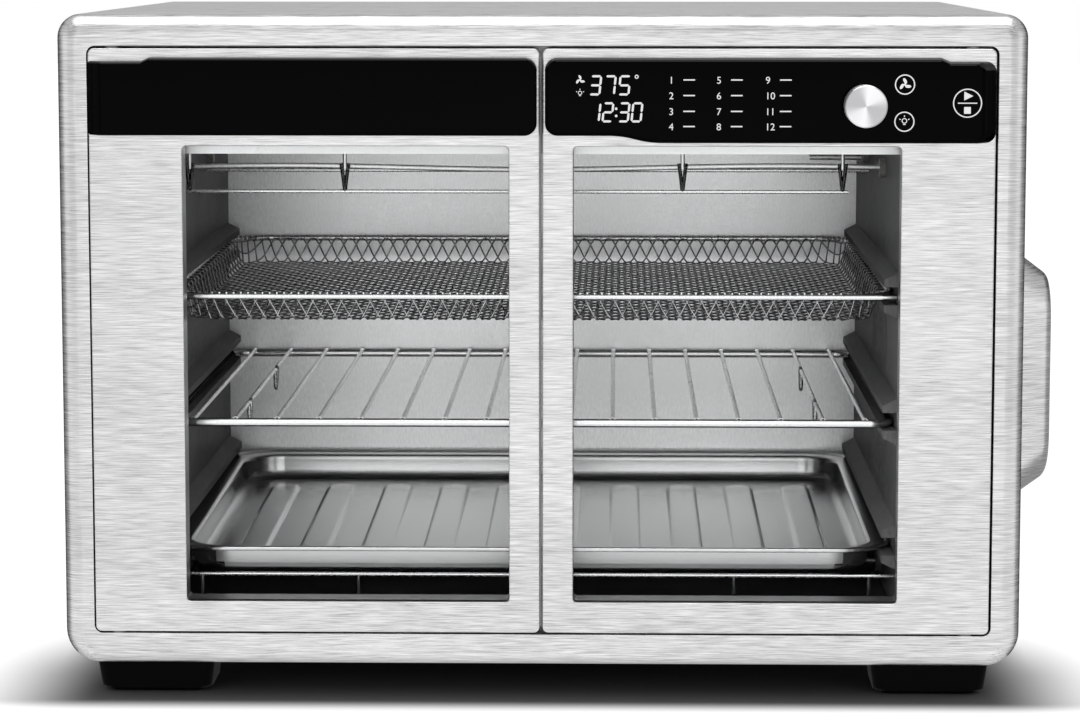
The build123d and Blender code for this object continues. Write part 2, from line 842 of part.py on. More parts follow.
# Convection fan behind the right-hand wall: drum, impeller, shaft and motor
with BuildPart() as fan_drum:
    start = (drum_face, fan_depth, fan_height)
    rod(start, (1, 0, 0), fan_radius + drum_clearance + drum_sheet, drum_depth)
    rod(start, (1, 0, 0), fan_radius + drum_clearance, drum_depth - drum_sheet, Mode.SUBTRACT)
    rod(start, (1, 0, 0), fan_shaft_radius + pin_hole_clearance, drum_depth, Mode.SUBTRACT)
keep(fan_drum.part, "fan_drum")

disc_face = drum_back - drum_sheet - drum_clearance
with BuildPart() as convection_fan:
    rod((disc_face, fan_depth, fan_height), (1, 0, 0), fan_radius, blade_thickness)
    with BuildSketch(beside(disc_face)) as blades:
        with Locations((fan_depth, fan_height)):
            with PolarLocations((fan_radius + hub_radius) / 2, fan_blades):
                Rectangle(fan_radius - hub_radius - blade_width / 2, blade_thickness, rotation=blade_lean)
    extrude(blades.sketch, amount=-blade_width)
    hub_start = (disc_face - blade_width, fan_depth, fan_height)
    rod(hub_start, (1, 0, 0), hub_radius, blade_width)
    rod(hub_start, (1, 0, 0), fan_shaft_radius + fit / 2, blade_width + blade_thickness, Mode.SUBTRACT)
keep(convection_fan.part, "convection_fan")

motor_face = drum_back + motor_standoff
with BuildPart() as fan_shaft:
    shaft_start = disc_face - blade_width
    rod((shaft_start, fan_depth, fan_height), (1, 0, 0), fan_shaft_radius, motor_face + motor_length - shaft_start)
keep(fan_shaft.part, "fan_shaft")

with BuildPart() as fan_motor:
    start = (motor_face, fan_depth, fan_height)
    rod(start, (1, 0, 0), motor_radius, motor_length)
    chamfer(fan_motor.edges().filter_by(GeomType.CIRCLE), skin)
    with BuildSketch(beside(drum_back)) as posts:
        with Locations((fan_depth, fan_height)):
            with PolarLocations(motor_radius - 2 * motor_post_radius, motor_posts, motor_post_start):
                Circle(motor_post_radius)
    extrude(posts.sketch, amount=motor_standoff)
    rod(start, (1, 0, 0), fan_shaft_radius + pin_clearance, motor_length, Mode.SUBTRACT)
keep(fan_motor.part, "fan_motor")

# Power board on posts from the right-hand side, and the temperature probe
power_face = half - skin - power_standoff
power_back = cabinet_depth - power_from_rear
power_front = power_back - power_length
power_low = cavity_floor + power_above_floor
power_high = power_low + power_height
with BuildPart() as power_board:
    block((power_face - board_thickness, power_face), (power_front, power_back), (power_low, power_high))
    for y in (power_front + board_rim, power_back - board_rim):
        for z in (power_low + board_rim, power_high - board_rim):
            rod((power_face, y, z), (1, 0, 0), post_radius, power_standoff)
    component_face = power_face - board_thickness
    middle_y = (power_front + power_back) / 2
    for z in (power_low + relay_size, power_high - relay_size):
        block(
            (component_face - relay_height, component_face),
            (middle_y - relay_size, middle_y + relay_size),
            (z - relay_size / 2, z + relay_size / 2),
        )
keep(power_board.part, "power_board")

with BuildPart() as temperature_probe:
    probe_y, probe_z = probe_place
    start = (cavity_right + cavity_sheet, probe_y, probe_z)
    rod(start, (-1, 0, 0), probe_radius, probe_length)
    rod(start, (1, 0, 0), probe_nut, probe_nut)
keep(temperature_probe.part, "temperature_probe")

# Air-fry basket: a rim wire and a net tub inside it
rim_z = shelf_tops[2] + basket_rim_wire + rest_gap
with BuildPart() as basket_rim:
    rim_inset = 2 * basket_rim_wire
    rim = rounded(
        level(rim_z),
        (cavity_middle, tray_middle),
        tray_width - rim_inset,
        tray_length - rim_inset,
        basket_corner,
    )
    wire(rim.face().outer_wire(), basket_rim_wire)
keep(basket_rim.part, "basket_rim")

net_inset = 4 * basket_rim_wire + 2 * rest_gap
net_edge_width = tray_width - net_inset
net_edge_length = tray_length - net_inset
net_edge_corner = basket_corner - basket_rim_wire - rest_gap
net_step = rib_reach + basket_rib_gap - tray_side_gap - net_inset / 2
net_width = net_edge_width - 2 * net_step
net_length = net_edge_length - 2 * net_step
net_corner = net_edge_corner - net_step
net_shrink = 2 * basket_depth * math.tan(math.radians(basket_taper))
net_column_pitch = (net_width - net_shrink - 2 * net_corner) / net_columns
net_row_pitch = (net_length - net_shrink - 2 * net_corner) / net_rows
with BuildPart() as basket_net:
    net_edge = rounded(
        level(rim_z - basket_wire),
        (cavity_middle, tray_middle),
        net_edge_width,
        net_edge_length,
        net_edge_corner,
    )
    extrude(net_edge, amount=basket_wire)
    tub(rim_z, net_width, net_length, net_corner, basket_depth, basket_taper)
    tub_hollow(rim_z, net_width, net_length, net_corner, basket_depth, basket_taper, basket_wire)
    with BuildSketch(level(rim_z - basket_depth)) as net_gaps:
        with Locations((cavity_middle, tray_middle)):
            with GridLocations(net_column_pitch, net_row_pitch, net_columns, net_rows):
                wide = (net_column_pitch - net_bar) / 2
                deep = (net_row_pitch - net_bar) / 2
                Polygon((wide, 0), (0, deep), (-wide, 0), (0, -deep))
    extrude(net_gaps.sketch, amount=basket_wire, mode=Mode.SUBTRACT)
keep(basket_net.part, "basket_net")

# Wire rack: a rim wire with cross rods, two of them dipped to stop it sliding out
rack_z = shelf_tops[1] + rack_wire + rest_gap
rack_half = tray_length / 2 - rack_wire
with BuildPart() as wire_rack:
    rim = rounded(
        level(rack_z),
        (cavity_middle, tray_middle),
        tray_width - 2 * rack_wire,
        tray_length - 2 * rack_wire,
        rack_corner,
    )
    wire(rim.face().outer_wire(), rack_wire)
    for number in range(rack_rods):
        x = cavity_middle + (number - (rack_rods - 1) / 2) * rack_pitch
        front_end = tray_middle - rack_half
        if number in (1, rack_rods - 2):
            points = [(front_end, rack_z)]
            for dip in (dip_front, dip_rear):
                points += [
                    (front_end + dip - dip_half, rack_z),
                    (front_end + dip, rack_z - dip_depth),
                    (front_end + dip + dip_half, rack_z),
                ]
            points.append((front_end + 2 * rack_half, rack_z))
            with BuildLine(beside(x)) as dipped:
                FilletPolyline(*points, radius=2 * rack_rod_wire)
            wire(dipped.line, rack_rod_wire)
        else:
            rod((x, front_end, rack_z), (0, 1, 0), rack_rod_wire, 2 * rack_half)
keep(wire_rack.part, "wire_rack")

# Bake pan: a flat flange with a beaded edge round a tapered tub with ribs along its floor
pan_z = shelf_tops[0] + rest_gap + pan_bead
pan_width = tray_width - 2 * pan_bead
pan_length = tray_length - 2 * pan_bead
pan_inner_width = pan_width - 2 * pan_flange
pan_inner_length = pan_length - 2 * pan_flange
pan_floor = pan_z - pan_depth + pan_sheet
with BuildPart() as bake_pan:
    outline = rounded(level(pan_z), (cavity_middle, tray_middle), pan_width, pan_length, pan_corner)
    wire(outline.face().outer_wire(), pan_bead)
    extrude(outline, amount=-pan_sheet)
    inner_corner = pan_corner - pan_flange / 2
    tub(pan_z, pan_inner_width, pan_inner_length, inner_corner, pan_depth, pan_taper)
    tub_hollow(pan_z, pan_inner_width, pan_inner_length, inner_corner, pan_depth, pan_taper, pan_sheet)
    with BuildSketch(level(pan_floor)) as pan_rib_rows:
        with Locations((cavity_middle, tray_middle)):
            with GridLocations(pan_rib_pitch, pan_rib_pitch, pan_ribs, 1):
                SlotOverall(pan_inner_length - 2 * pan_rib_margin, pan_rib_width, rotation=90)
    extrude(pan_rib_rows.sketch, amount=pan_rib_height, taper=45)
keep(bake_pan.part, "bake_pan")

# Crumb tray on the cavity floor, with a front lip to pull it by
with BuildPart() as crumb_tray:
    crumb_front = cavity_front + crumb_gap
    crumb_sides = (cavity_left + crumb_gap, cavity_right - crumb_gap)
    block(crumb_sides, (crumb_front, cavity_back - crumb_gap), (cavity_floor, cavity_floor + crumb_sheet))
    block(crumb_sides, (crumb_front, crumb_front + crumb_sheet), (cavity_floor, cavity_floor + crumb_lip))
keep(crumb_tray.part, "crumb_tray")
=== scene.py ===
import functools
import json
import math

import bmesh
import bpy
from mathutils import Matrix, Vector


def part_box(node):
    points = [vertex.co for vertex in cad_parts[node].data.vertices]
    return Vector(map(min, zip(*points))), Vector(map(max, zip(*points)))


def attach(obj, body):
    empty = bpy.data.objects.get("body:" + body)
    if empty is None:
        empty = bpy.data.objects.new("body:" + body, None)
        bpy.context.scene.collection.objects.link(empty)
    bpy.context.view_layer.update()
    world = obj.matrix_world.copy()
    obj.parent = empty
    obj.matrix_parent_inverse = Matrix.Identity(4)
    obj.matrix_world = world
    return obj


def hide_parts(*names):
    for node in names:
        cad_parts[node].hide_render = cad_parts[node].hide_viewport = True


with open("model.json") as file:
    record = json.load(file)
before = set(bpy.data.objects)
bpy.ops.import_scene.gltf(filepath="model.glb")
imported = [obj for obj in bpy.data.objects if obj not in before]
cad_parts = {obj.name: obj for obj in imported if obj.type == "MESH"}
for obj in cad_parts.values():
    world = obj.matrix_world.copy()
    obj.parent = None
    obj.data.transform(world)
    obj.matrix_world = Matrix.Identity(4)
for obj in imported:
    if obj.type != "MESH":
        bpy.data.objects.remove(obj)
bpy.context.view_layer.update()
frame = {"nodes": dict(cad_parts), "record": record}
scene = bpy.context.scene
mm = 0.001
print("frame loaded:", len(frame["nodes"]), "nodes")


# Materials

def newMaterial(name):
    material = bpy.data.materials.new(name)
    material.use_nodes = True
    tree = material.node_tree
    return material, tree, tree.nodes["Principled BSDF"]


def setInputs(node, inputs):
    for socket, value in inputs.items():
        node.inputs[socket].default_value = value


def addNode(tree, kind, inputs=None, **settings):
    node = tree.nodes.new(kind)
    for setting, value in settings.items():
        setattr(node, setting, value)
    setInputs(node, inputs or {})
    return node


def measured(tree, operation, *values):
    node = addNode(tree, "ShaderNodeMath", operation=operation)
    for socket, value in zip(node.inputs, values):
        if isinstance(value, (int, float)):
            socket.default_value = value
        else:
            tree.links.new(value, socket)
    return node.outputs[0]


def ranged(tree, source, before, after=(0, 1), **settings):
    ends = dict(zip(("From Min", "From Max", "To Min", "To Max"), (*before, *after)))
    span = addNode(tree, "ShaderNodeMapRange", ends, **settings)
    tree.links.new(source, span.inputs["Value"])
    return span.outputs["Result"]


# Most of a noise field's values lie in the span
noiseSet = {"span": (0.32, 0.68), "middle": 0.5, "roughness": 0.6, "grainDetail": 5.0, "cloudDetail": 2.0}


def noiseField(tree, scale, detail, shift=(0, 0, 0)):
    place = addNode(tree, "ShaderNodeTexCoord")
    mapping = addNode(tree, "ShaderNodeMapping", {"Location": shift, "Scale": scale})
    settings = {"Scale": 1.0, "Detail": detail, "Roughness": noiseSet["roughness"]}
    noise = addNode(tree, "ShaderNodeTexNoise", settings)
    tree.links.new(place.outputs["Object"], mapping.inputs["Vector"])
    tree.links.new(mapping.outputs["Vector"], noise.inputs["Vector"])
    return noise.outputs["Fac"]


def twoTone(tree, source, look):
    mix = addNode(tree, "ShaderNodeMix", {6: (*look["dark"], 1), 7: (*look["light"], 1)}, data_type="RGBA")
    tree.links.new(source, mix.inputs[0])
    return mix.outputs[2]


def grained(name, look):
    material, tree, shader = newMaterial(name)
    shift = look.get("shift", (0, 0, 0))
    grain = noiseField(tree, look["grain"], noiseSet["grainDetail"], shift)
    cloud = noiseField(tree, look["cloud"], noiseSet["cloudDetail"], shift)
    centred = measured(tree, "SUBTRACT", cloud, noiseSet["middle"])
    blend = measured(tree, "MULTIPLY_ADD", centred, look.get("cloudShare", 0.3), grain)
    tone = twoTone(tree, ranged(tree, blend, noiseSet["span"]), look)
    tree.links.new(tone, shader.inputs["Base Color"])
    tree.links.new(ranged(tree, grain, noiseSet["span"], look["roughness"]), shader.inputs["Roughness"])
    # a specular tint under 1 darkens grazing reflections: painted shade along edges and silhouettes
    paintedEdgeShade = look.get("paintedEdgeShade", 1.0)
    setInputs(shader, {
        "Metallic": look.get("metallic", 0.0),
        "Specular IOR Level": look.get("specular", 0.5),
        "Specular Tint": (paintedEdgeShade, paintedEdgeShade, paintedEdgeShade, 1),
    })
    bump = addNode(tree, "ShaderNodeBump", {"Distance": look["bump"], "Strength": 1.0})
    tree.links.new(grain, bump.inputs["Height"])
    tree.links.new(bump.outputs["Normal"], shader.inputs["Normal"])
    return material


def greys(dark, light):
    return {"dark": (dark,) * 3, "light": (light,) * 3}


def even(grain, cloud):
    return {"grain": (grain,) * 3, "cloud": (cloud,) * 3}


# Brushed stainless: hairlines along the width
steelLook = {
    **greys(0.41, 0.98),
    "roughness": (0.24, 0.38),
    "metallic": 1.0,
    "grain": (60, 2500, 2500),
    "cloud": (4, 30, 30),
    "cloudShare": 0.15,
    "bump": 12e-6,
}
doorSteel = grained("doorSteel", steelLook)
frameShift = (3.1, 0.7, 1.9)
frameSteel = grained("frameSteel", {**steelLook, "shift": frameShift})
wrapSteel = grained("wrapSteel", {**steelLook, "shift": (1.3, 2.2, 0.4)})

# On the sides the hairlines run back, and on the frame's roll they meet those of its face; the roll's copy
# also darkens its grazing reflections, a painted shade along the silhouette
sideLook = {**steelLook, "grain": (60, 60, 2500), "cloud": (4, 4, 30)}
sideSteel = grained("sideSteel", sideLook)
rollShift = frameShift[1] + (steelLook["grain"][1] - sideLook["grain"][1]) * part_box("front_frame")[0].y
rollLook = {**sideLook, "shift": (frameShift[0], rollShift, frameShift[2]), "paintedEdgeShade": 0.0}
rollSteelShadedEdge = grained("rollSteelShadedEdge", rollLook)

# Plain satin sheet behind the doors and in the cavity. The cavity sheet comes in a bright copy for sheets
# such as the back wall and ceiling, painted light, and dark copies for the side walls, floor and crumb tray,
# painted shade
linerLook = {
    **greys(0.36, 0.46),
    "roughness": (0.30, 0.42),
    "metallic": 1.0,
    "grain": (900, 900, 300),
    "cloud": (9, 9, 9),
    "cloudShare": 0.5,
    "bump": 6e-6,
}
linerSteel = grained("linerSteel", linerLook)
cavityLitLook = {**linerLook, **greys(0.79, 0.99), "cloud": (3, 3, 12), "cloudShare": 1.0}
cavityLitSteel = grained("cavityLitSteel", cavityLitLook)
flangeSteel = grained("flangeSteel", {**linerLook, **greys(0.74, 0.80)})
wallShadedLook = {**linerLook, **greys(0.12, 0.20), "roughness": (0.16, 0.26), "metallic": 0.10, "specular": 0.0}
wallShadedSteel = grained("wallShadedSteel", wallShadedLook)
trayShadedSteel = grained("trayShadedSteel", {**linerLook, **greys(0.12, 0.18)})
zincLook = {
    **linerLook,
    "dark": (0.36, 0.37, 0.38),
    "light": (0.52, 0.53, 0.54),
    "roughness": (0.36, 0.52),
    "grain": (260, 260, 260),
    "cloudShare": 0.9,
}
zincSheet = grained("zincSheet", zincLook)

# Plated wire, heater sheath, pan
wireLook = {
    **greys(0.90, 0.97),
    "roughness": (0.22, 0.32),
    "metallic": 1.0,
    **even(700, 30),
    "bump": 2e-7,
}
chromeWire = grained("chromeWire", wireLook)
# the rim wires darken their grazing reflections: painted shade along the wires' edges
rimLook = {**wireLook, **greys(0.72, 0.82), "roughness": (0.13, 0.19), "paintedEdgeShade": 0.0}
rimChromeShadedEdge = grained("rimChromeShadedEdge", rimLook)
netWire = grained("netWire", {**wireLook, **greys(0.34, 0.56), "roughness": (0.16, 0.26)})
heaterSheath = grained("heaterSheath", {**wireLook, "dark": (0.74, 0.74, 0.73), "roughness": (0.32, 0.44)})
# near-black copy of the wire: painted shade on the guard hangers
hangerShadedSteel = grained("hangerShadedSteel", {**wireLook, **greys(0.03, 0.06)})
panLook = {
    **greys(0.50, 0.60),
    "roughness": (0.17, 0.25),
    "metallic": 1.0,
    "grain": (60, 900, 900),
    "cloud": (10, 6, 10),
    "bump": 4e-7,
}
panSteel = grained("panSteel", panLook)
# a brighter, rougher copy of the pan steel for its front wall: painted light
panFrontLitSteel = grained("panFrontLitSteel", {**panLook, **greys(0.86, 0.94), "roughness": (0.40, 0.50)})

# Mouldings
glossLook = {
    "dark": (0.0012, 0.0012, 0.0013),
    "light": (0.0020, 0.0020, 0.0022),
    "roughness": (0.07, 0.10),
    "specular": 0.025,
    **even(60, 6),
    "bump": 5e-7,
}
blackGloss = grained("blackGloss", glossLook)
# a shinier copy of the black gloss for the panels' top faces: a painted highlight
blackGlossTopHighlight = grained("blackGlossTopHighlight", {**glossLook, "roughness": (0.16, 0.22), "specular": 0.45})
plasticLook = {
    **greys(0.003, 0.006),
    "roughness": (0.42, 0.62),
    "specular": 0.04,
    **even(1600, 40),
    "bump": 20e-6,
}
blackPlastic = grained("blackPlastic", plasticLook)
softRubber = grained("softRubber", {**plasticLook, "roughness": (0.72, 0.9), "bump": 30e-6})
whiteLook = {
    "dark": (0.70, 0.70, 0.68),
    "light": (0.82, 0.82, 0.80),
    "roughness": (0.38, 0.52),
    **even(500, 60),
    "bump": 8e-6,
}
whiteNylon = grained("whiteNylon", whiteLook)
paleSilicone = grained("paleSilicone", {**whiteLook, **greys(0.40, 0.48)})
ceramicLook = {**whiteLook, "dark": (0.15, 0.145, 0.135), "light": (0.21, 0.205, 0.19)}
firedCeramic = grained("firedCeramic", ceramicLook)

# Aluminium, boards, screws and motor
aluminiumLook = {
    **wireLook,
    "dark": (0.56, 0.56, 0.57),
    "light": (0.68, 0.68, 0.69),
    "roughness": (0.28, 0.42),
}
fanAluminium = grained("fanAluminium", aluminiumLook)
boardLook = {
    **plasticLook,
    "dark": (0.006, 0.05, 0.018),
    "light": (0.012, 0.10, 0.035),
    "roughness": (0.3, 0.45),
    "grain": (420, 420, 420),
    "bump": 10e-6,
}
solderMask = grained("solderMask", boardLook)
screwSteel = grained("screwSteel", {**wireLook, **greys(0.45, 0.97), "roughness": (0.2, 0.34)})
motorLook = {
    **plasticLook,
    "dark": (0.16, 0.16, 0.165),
    "light": (0.26, 0.26, 0.27),
    "roughness": (0.36, 0.5),
    "metallic": 0.8,
    "bump": 8e-6,
}
motorSteel = grained("motorSteel", motorLook)


def spunMetal(name, look):
    # turning lines round the axis, and two bright fans painted into the base colour across the face: a
    # painted highlight that turns with the knob
    material, tree, shader = newMaterial(name)
    join = tree.links.new
    place = addNode(tree, "ShaderNodeTexCoord")
    centre = addNode(tree, "ShaderNodeMapping", {"Location": [-value for value in look["centre"]]})
    upright = addNode(tree, "ShaderNodeMapping", {"Rotation": (math.radians(90), 0, 0)})
    rings = addNode(tree, "ShaderNodeTexWave", {"Scale": look["rings"], "Distortion": 0.6, "Detail": 2.0},
                    wave_type="RINGS", rings_direction="Y")
    fanHighlightSweep = addNode(tree, "ShaderNodeTexGradient", gradient_type="RADIAL")
    tangent = addNode(tree, "ShaderNodeTangent", direction_type="RADIAL", axis="Y")
    join(place.outputs["Object"], centre.inputs["Vector"])
    join(centre.outputs["Vector"], rings.inputs["Vector"])
    join(centre.outputs["Vector"], upright.inputs["Vector"])
    join(upright.outputs["Vector"], fanHighlightSweep.inputs["Vector"])
    turns = measured(tree, "MULTIPLY_ADD", fanHighlightSweep.outputs["Fac"], look["paintedFans"] * math.tau, look["paintedFanTurn"])
    share = ranged(tree, measured(tree, "COSINE", turns), look["paintedFanSpan"], interpolation_type="SMOOTHSTEP")
    ringsAndPaintedFans = measured(tree, "MULTIPLY_ADD", rings.outputs["Fac"], look["ringShare"], share)
    join(twoTone(tree, ringsAndPaintedFans, look), shader.inputs["Base Color"])
    join(tangent.outputs["Tangent"], shader.inputs["Tangent"])
    setInputs(shader, {
        "Metallic": 1.0,
        "Roughness": look["roughness"],
        "Anisotropic": look["anisotropic"],
        "Anisotropic Rotation": 0.25,
    })
    return material


knobLow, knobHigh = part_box("control_knob")
knobLook = {
    "centre": (knobLow + knobHigh) / 2,
    "dark": (0.50, 0.50, 0.51),
    "light": (0.94, 0.94, 0.95),
    "rings": 900,
    "ringShare": 0.18,
    # two painted highlight fans in the base colour
    "paintedFans": 2,
    "paintedFanTurn": 2.0,
    "paintedFanSpan": (-0.7, 1.0),
    "roughness": 0.34,
    "anisotropic": 0.8,
}
spunAluminiumPaintedFans = spunMetal("spunAluminiumPaintedFans", knobLook)


def paneGlass(name, look):
    material, tree, shader = newMaterial(name)
    tint = (*look["tint"], 1)
    setInputs(shader, {"Base Color": tint, "Roughness": 0.0, "IOR": look["ior"], "Transmission Weight": 1.0})
    clear = addNode(tree, "ShaderNodeBsdfTransparent", {"Color": tint})
    path = addNode(tree, "ShaderNodeLightPath")
    mix = addNode(tree, "ShaderNodeMixShader")
    sources = (path.outputs["Is Shadow Ray"], shader.outputs[0], clear.outputs[0])
    for source, socket in zip(sources, mix.inputs):
        tree.links.new(source, socket)
    tree.links.new(mix.outputs[0], tree.nodes["Material Output"].inputs["Surface"])
    return material


clearGlass = paneGlass("clearGlass", {"tint": (0.97, 0.98, 0.98), "ior": 1.05})

slotMaterials = {
    "stainless": frameSteel,
    "door_liner": linerSteel,
    "zinc_sheet": zincSheet,
    "cavity_sheet": cavityLitSteel,
    "chrome_wire": chromeWire,
    "heater_tube": heaterSheath,
    "pan_steel": panSteel,
    "glass": clearGlass,
    "black_gloss": blackGloss,
    "black_plastic": blackPlastic,
    "rubber": softRubber,
    "nylon": whiteNylon,
    "ceramic": firedCeramic,
    "spun_aluminium": spunAluminiumPaintedFans,
    "fan_aluminium": fanAluminium,
    "board": solderMask,
    "screw_steel": screwSteel,
    "motor_steel": motorSteel,
}
nodeSlots = {part["node"]: part["material_slot"] for part in frame["record"]["subparts"]}
# the cavity's side walls, floor and crumb tray take the dark copies: painted shade
ownMaterials = {
    "cavity_flange": flangeSteel,
    "cavity_left_wall": wallShadedSteel,
    "cavity_right_wall": wallShadedSteel,
    "cavity_floor": wallShadedSteel,
    "crumb_tray": trayShadedSteel,
    "flange_screws": flangeSteel,
    "left_glass_gasket": paleSilicone,
    "right_glass_gasket": paleSilicone,
}
for nodeName, node in frame["nodes"].items():
    node.data.materials.clear()
    node.data.materials.append(ownMaterials.get(nodeName, slotMaterials[nodeSlots[nodeName]]))
print("materials on", len(frame["nodes"]), "nodes")


# Modelling helpers: an outline is a polygon with bevelled corners, and a shell joins a stack of outlines

def outline(plane, depth, points, radii, segments=8):
    if not isinstance(radii, list):
        radii = [radii] * len(points)
    place = {
        "XZ": lambda u, v: (u, depth, v),
        "XY": lambda u, v: (u, v, depth),
        "YZ": lambda u, v: (depth, u, v),
    }[plane]
    bm = bmesh.new()
    verts = [bm.verts.new(place(u, v)) for u, v in points]
    bm.faces.new(verts)
    for radius in sorted(set(radii) - {0}):
        chosen = [vert for vert, own in zip(verts, radii) if own == radius]
        bmesh.ops.bevel(bm, geom=chosen, offset=radius, offset_type="OFFSET", segments=segments,
                        profile=0.5, affect="VERTICES", material=-1)
    bm.faces.ensure_lookup_table()
    loop = [vert.co.copy() for vert in bm.faces[0].verts]
    bm.free()
    firstCorner, lastCorner = (Vector(place(u, v)) for u, v in (points[0], points[-1]))
    start = firstCorner + (lastCorner - firstCorner).normalized() * radii[0]
    turn = min(range(len(loop)), key=lambda i: (loop[i] - start).length)
    return loop[turn:] + loop[:turn]


def rectangle(low, high):
    return [(low[0], low[1]), (high[0], low[1]), (high[0], high[1]), (low[0], high[1])]


def insetRectangle(low, high, inset):
    grow = Vector((inset, inset))
    return rectangle(low.xy + grow, high.xy - grow)


def stackLoops(bm, loops, closeFirst=False, closeLast=False):
    rings = [[bm.verts.new(point) for point in loop] for loop in loops]
    for near, far in zip(rings, rings[1:]):
        for i in range(len(near)):
            bm.faces.new((near[i - 1], near[i], far[i], far[i - 1]))
    for ring, closed in ((rings[0], closeFirst), (rings[-1], closeLast)):
        if closed:
            bm.faces.new(ring)
    return [[bm.edges.get((ring[i - 1], ring[i])) for i in range(len(ring))] for ring in rings]


def roundEdges(bm, edges, offset, segments):
    bmesh.ops.bevel(bm, geom=edges, offset=offset, offset_type="OFFSET", segments=segments,
                    profile=0.5, affect="EDGES", clamp_overlap=True, material=-1)


def splitAt(bm, axis, place):
    normal = Vector([float(name == axis) for name in "xyz"])
    geometry = bm.verts[:] + bm.edges[:] + bm.faces[:]
    bmesh.ops.bisect_plane(bm, geom=geometry, plane_co=normal * place, plane_no=normal)


def markSides(bm, least=0.0):
    # faces that look sideways take the piece's second material
    bm.normal_update()
    for face in bm.faces:
        if abs(face.normal.x) > max(abs(face.normal.z), least):
            face.material_index = 1


def makePiece(bm, name, materials, body, replaced=(), angle=40, wall=0.0):
    bmesh.ops.remove_doubles(bm, verts=bm.verts, dist=1e-6)
    bmesh.ops.recalc_face_normals(bm, faces=bm.faces)
    mesh = bpy.data.meshes.new(name)
    bm.to_mesh(mesh)
    bm.free()
    mesh.polygons.foreach_set("use_smooth", [True] * len(mesh.polygons))
    mesh.set_sharp_from_angle(angle=math.radians(angle))
    for material in materials if isinstance(materials, list) else [materials]:
        mesh.materials.append(material)
    piece = bpy.data.objects.new(name, mesh)
    scene.collection.objects.link(piece)
    if wall:
        thick = piece.modifiers.new("wall", "SOLIDIFY")
        thick.thickness = wall
        thick.offset = -1
    weighted = piece.modifiers.new("weighted", "WEIGHTED_NORMAL")
    weighted.keep_sharp = True
    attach(piece, body)
    if replaced:
        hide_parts(*replaced)
    return piece


# Front frame: rolled outer edge, flat face, and the jamb round the doors with a shallow lip
frameLow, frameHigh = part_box("front_frame")
wrapLow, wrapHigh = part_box("outer_wrap")
frameSet = {
    "topCorner": 11.5 * mm,
    "bottomCorner": 17 * mm,
    "cornerSteps": 12,
    "roll": 9.5 * mm,
    "rollSteps": 12,
    "side": 14.5 * mm,
    "top": 15.2 * mm,
    "bottom": 15.7 * mm,
    "jambCorner": 4 * mm,
    "lip": {"left": 0.75 * mm, "right": 0.2 * mm, "bottom": 0.5 * mm, "top": 0.1 * mm},
    "lipDepth": 1.5 * mm,
    "edge": 0.6 * mm,
    "edgeSteps": 3,
    "sideTurn": 0.05,
    "sheet": 1.2 * mm,
}
cabinetRadii = [frameSet["bottomCorner"]] * 2 + [frameSet["topCorner"]] * 2
cabinetPoints = rectangle((frameLow.x, frameLow.z), (frameHigh.x, frameHigh.z))
openingLow = (frameLow.x + frameSet["side"], frameLow.z + frameSet["bottom"])
openingHigh = (frameHigh.x - frameSet["side"], frameHigh.z - frameSet["top"])
openingPoints = rectangle(openingLow, openingHigh)
lip = frameSet["lip"]
lipPoints = rectangle((openingLow[0] + lip["left"], openingLow[1] + lip["bottom"]),
                      (openingHigh[0] - lip["right"], openingHigh[1] - lip["top"]))
faceY = frameLow.y


def frameLoop(depth, points, radii):
    return outline("XZ", depth, points, radii, frameSet["cornerSteps"])


bm = bmesh.new()
rows = stackLoops(bm, [
    frameLoop(wrapLow.y, cabinetPoints, cabinetRadii),
    frameLoop(faceY, cabinetPoints, cabinetRadii),
    frameLoop(faceY, lipPoints, frameSet["jambCorner"]),
    frameLoop(faceY + frameSet["lipDepth"], openingPoints, frameSet["jambCorner"]),
    frameLoop(frameHigh.y, openingPoints, frameSet["jambCorner"]),
])
roundEdges(bm, rows[2], frameSet["edge"], frameSet["edgeSteps"])
roundEdges(bm, rows[1], frameSet["roll"], frameSet["rollSteps"])
# sideways faces of the roll take the copy with the painted edge shade
markSides(bm, frameSet["sideTurn"])
frameMaterials = [frameSteel, rollSteelShadedEdge]
makePiece(bm, "frontFrameShell", frameMaterials, "root", ["front_frame"], wall=frameSet["sheet"])

# Outer wrap: top, sides and the flanges under the cabinet
wrapSet = {"seam": 0.3 * mm, "flange": 73 * mm, "sheet": 1.2 * mm}
bm = bmesh.new()
stackLoops(bm, [frameLoop(depth, cabinetPoints, cabinetRadii)
                for depth in (wrapLow.y + wrapSet["seam"], wrapHigh.y)])
for edgeX in (wrapLow.x + wrapSet["flange"], wrapHigh.x - wrapSet["flange"]):
    splitAt(bm, "x", edgeX)
middle = (wrapLow + wrapHigh) / 2
reach = (wrapHigh.x - wrapLow.x) / 2 - wrapSet["flange"]
under = [face for face in bm.faces if face.calc_center_median().z < middle.z
         and abs(face.calc_center_median().x - middle.x) < reach]
bmesh.ops.delete(bm, geom=under, context="FACES")
markSides(bm)
wrapMaterials = [wrapSteel, sideSteel]
makePiece(bm, "outerWrapShell", wrapMaterials, "root", ["outer_wrap"], wall=wrapSet["sheet"])

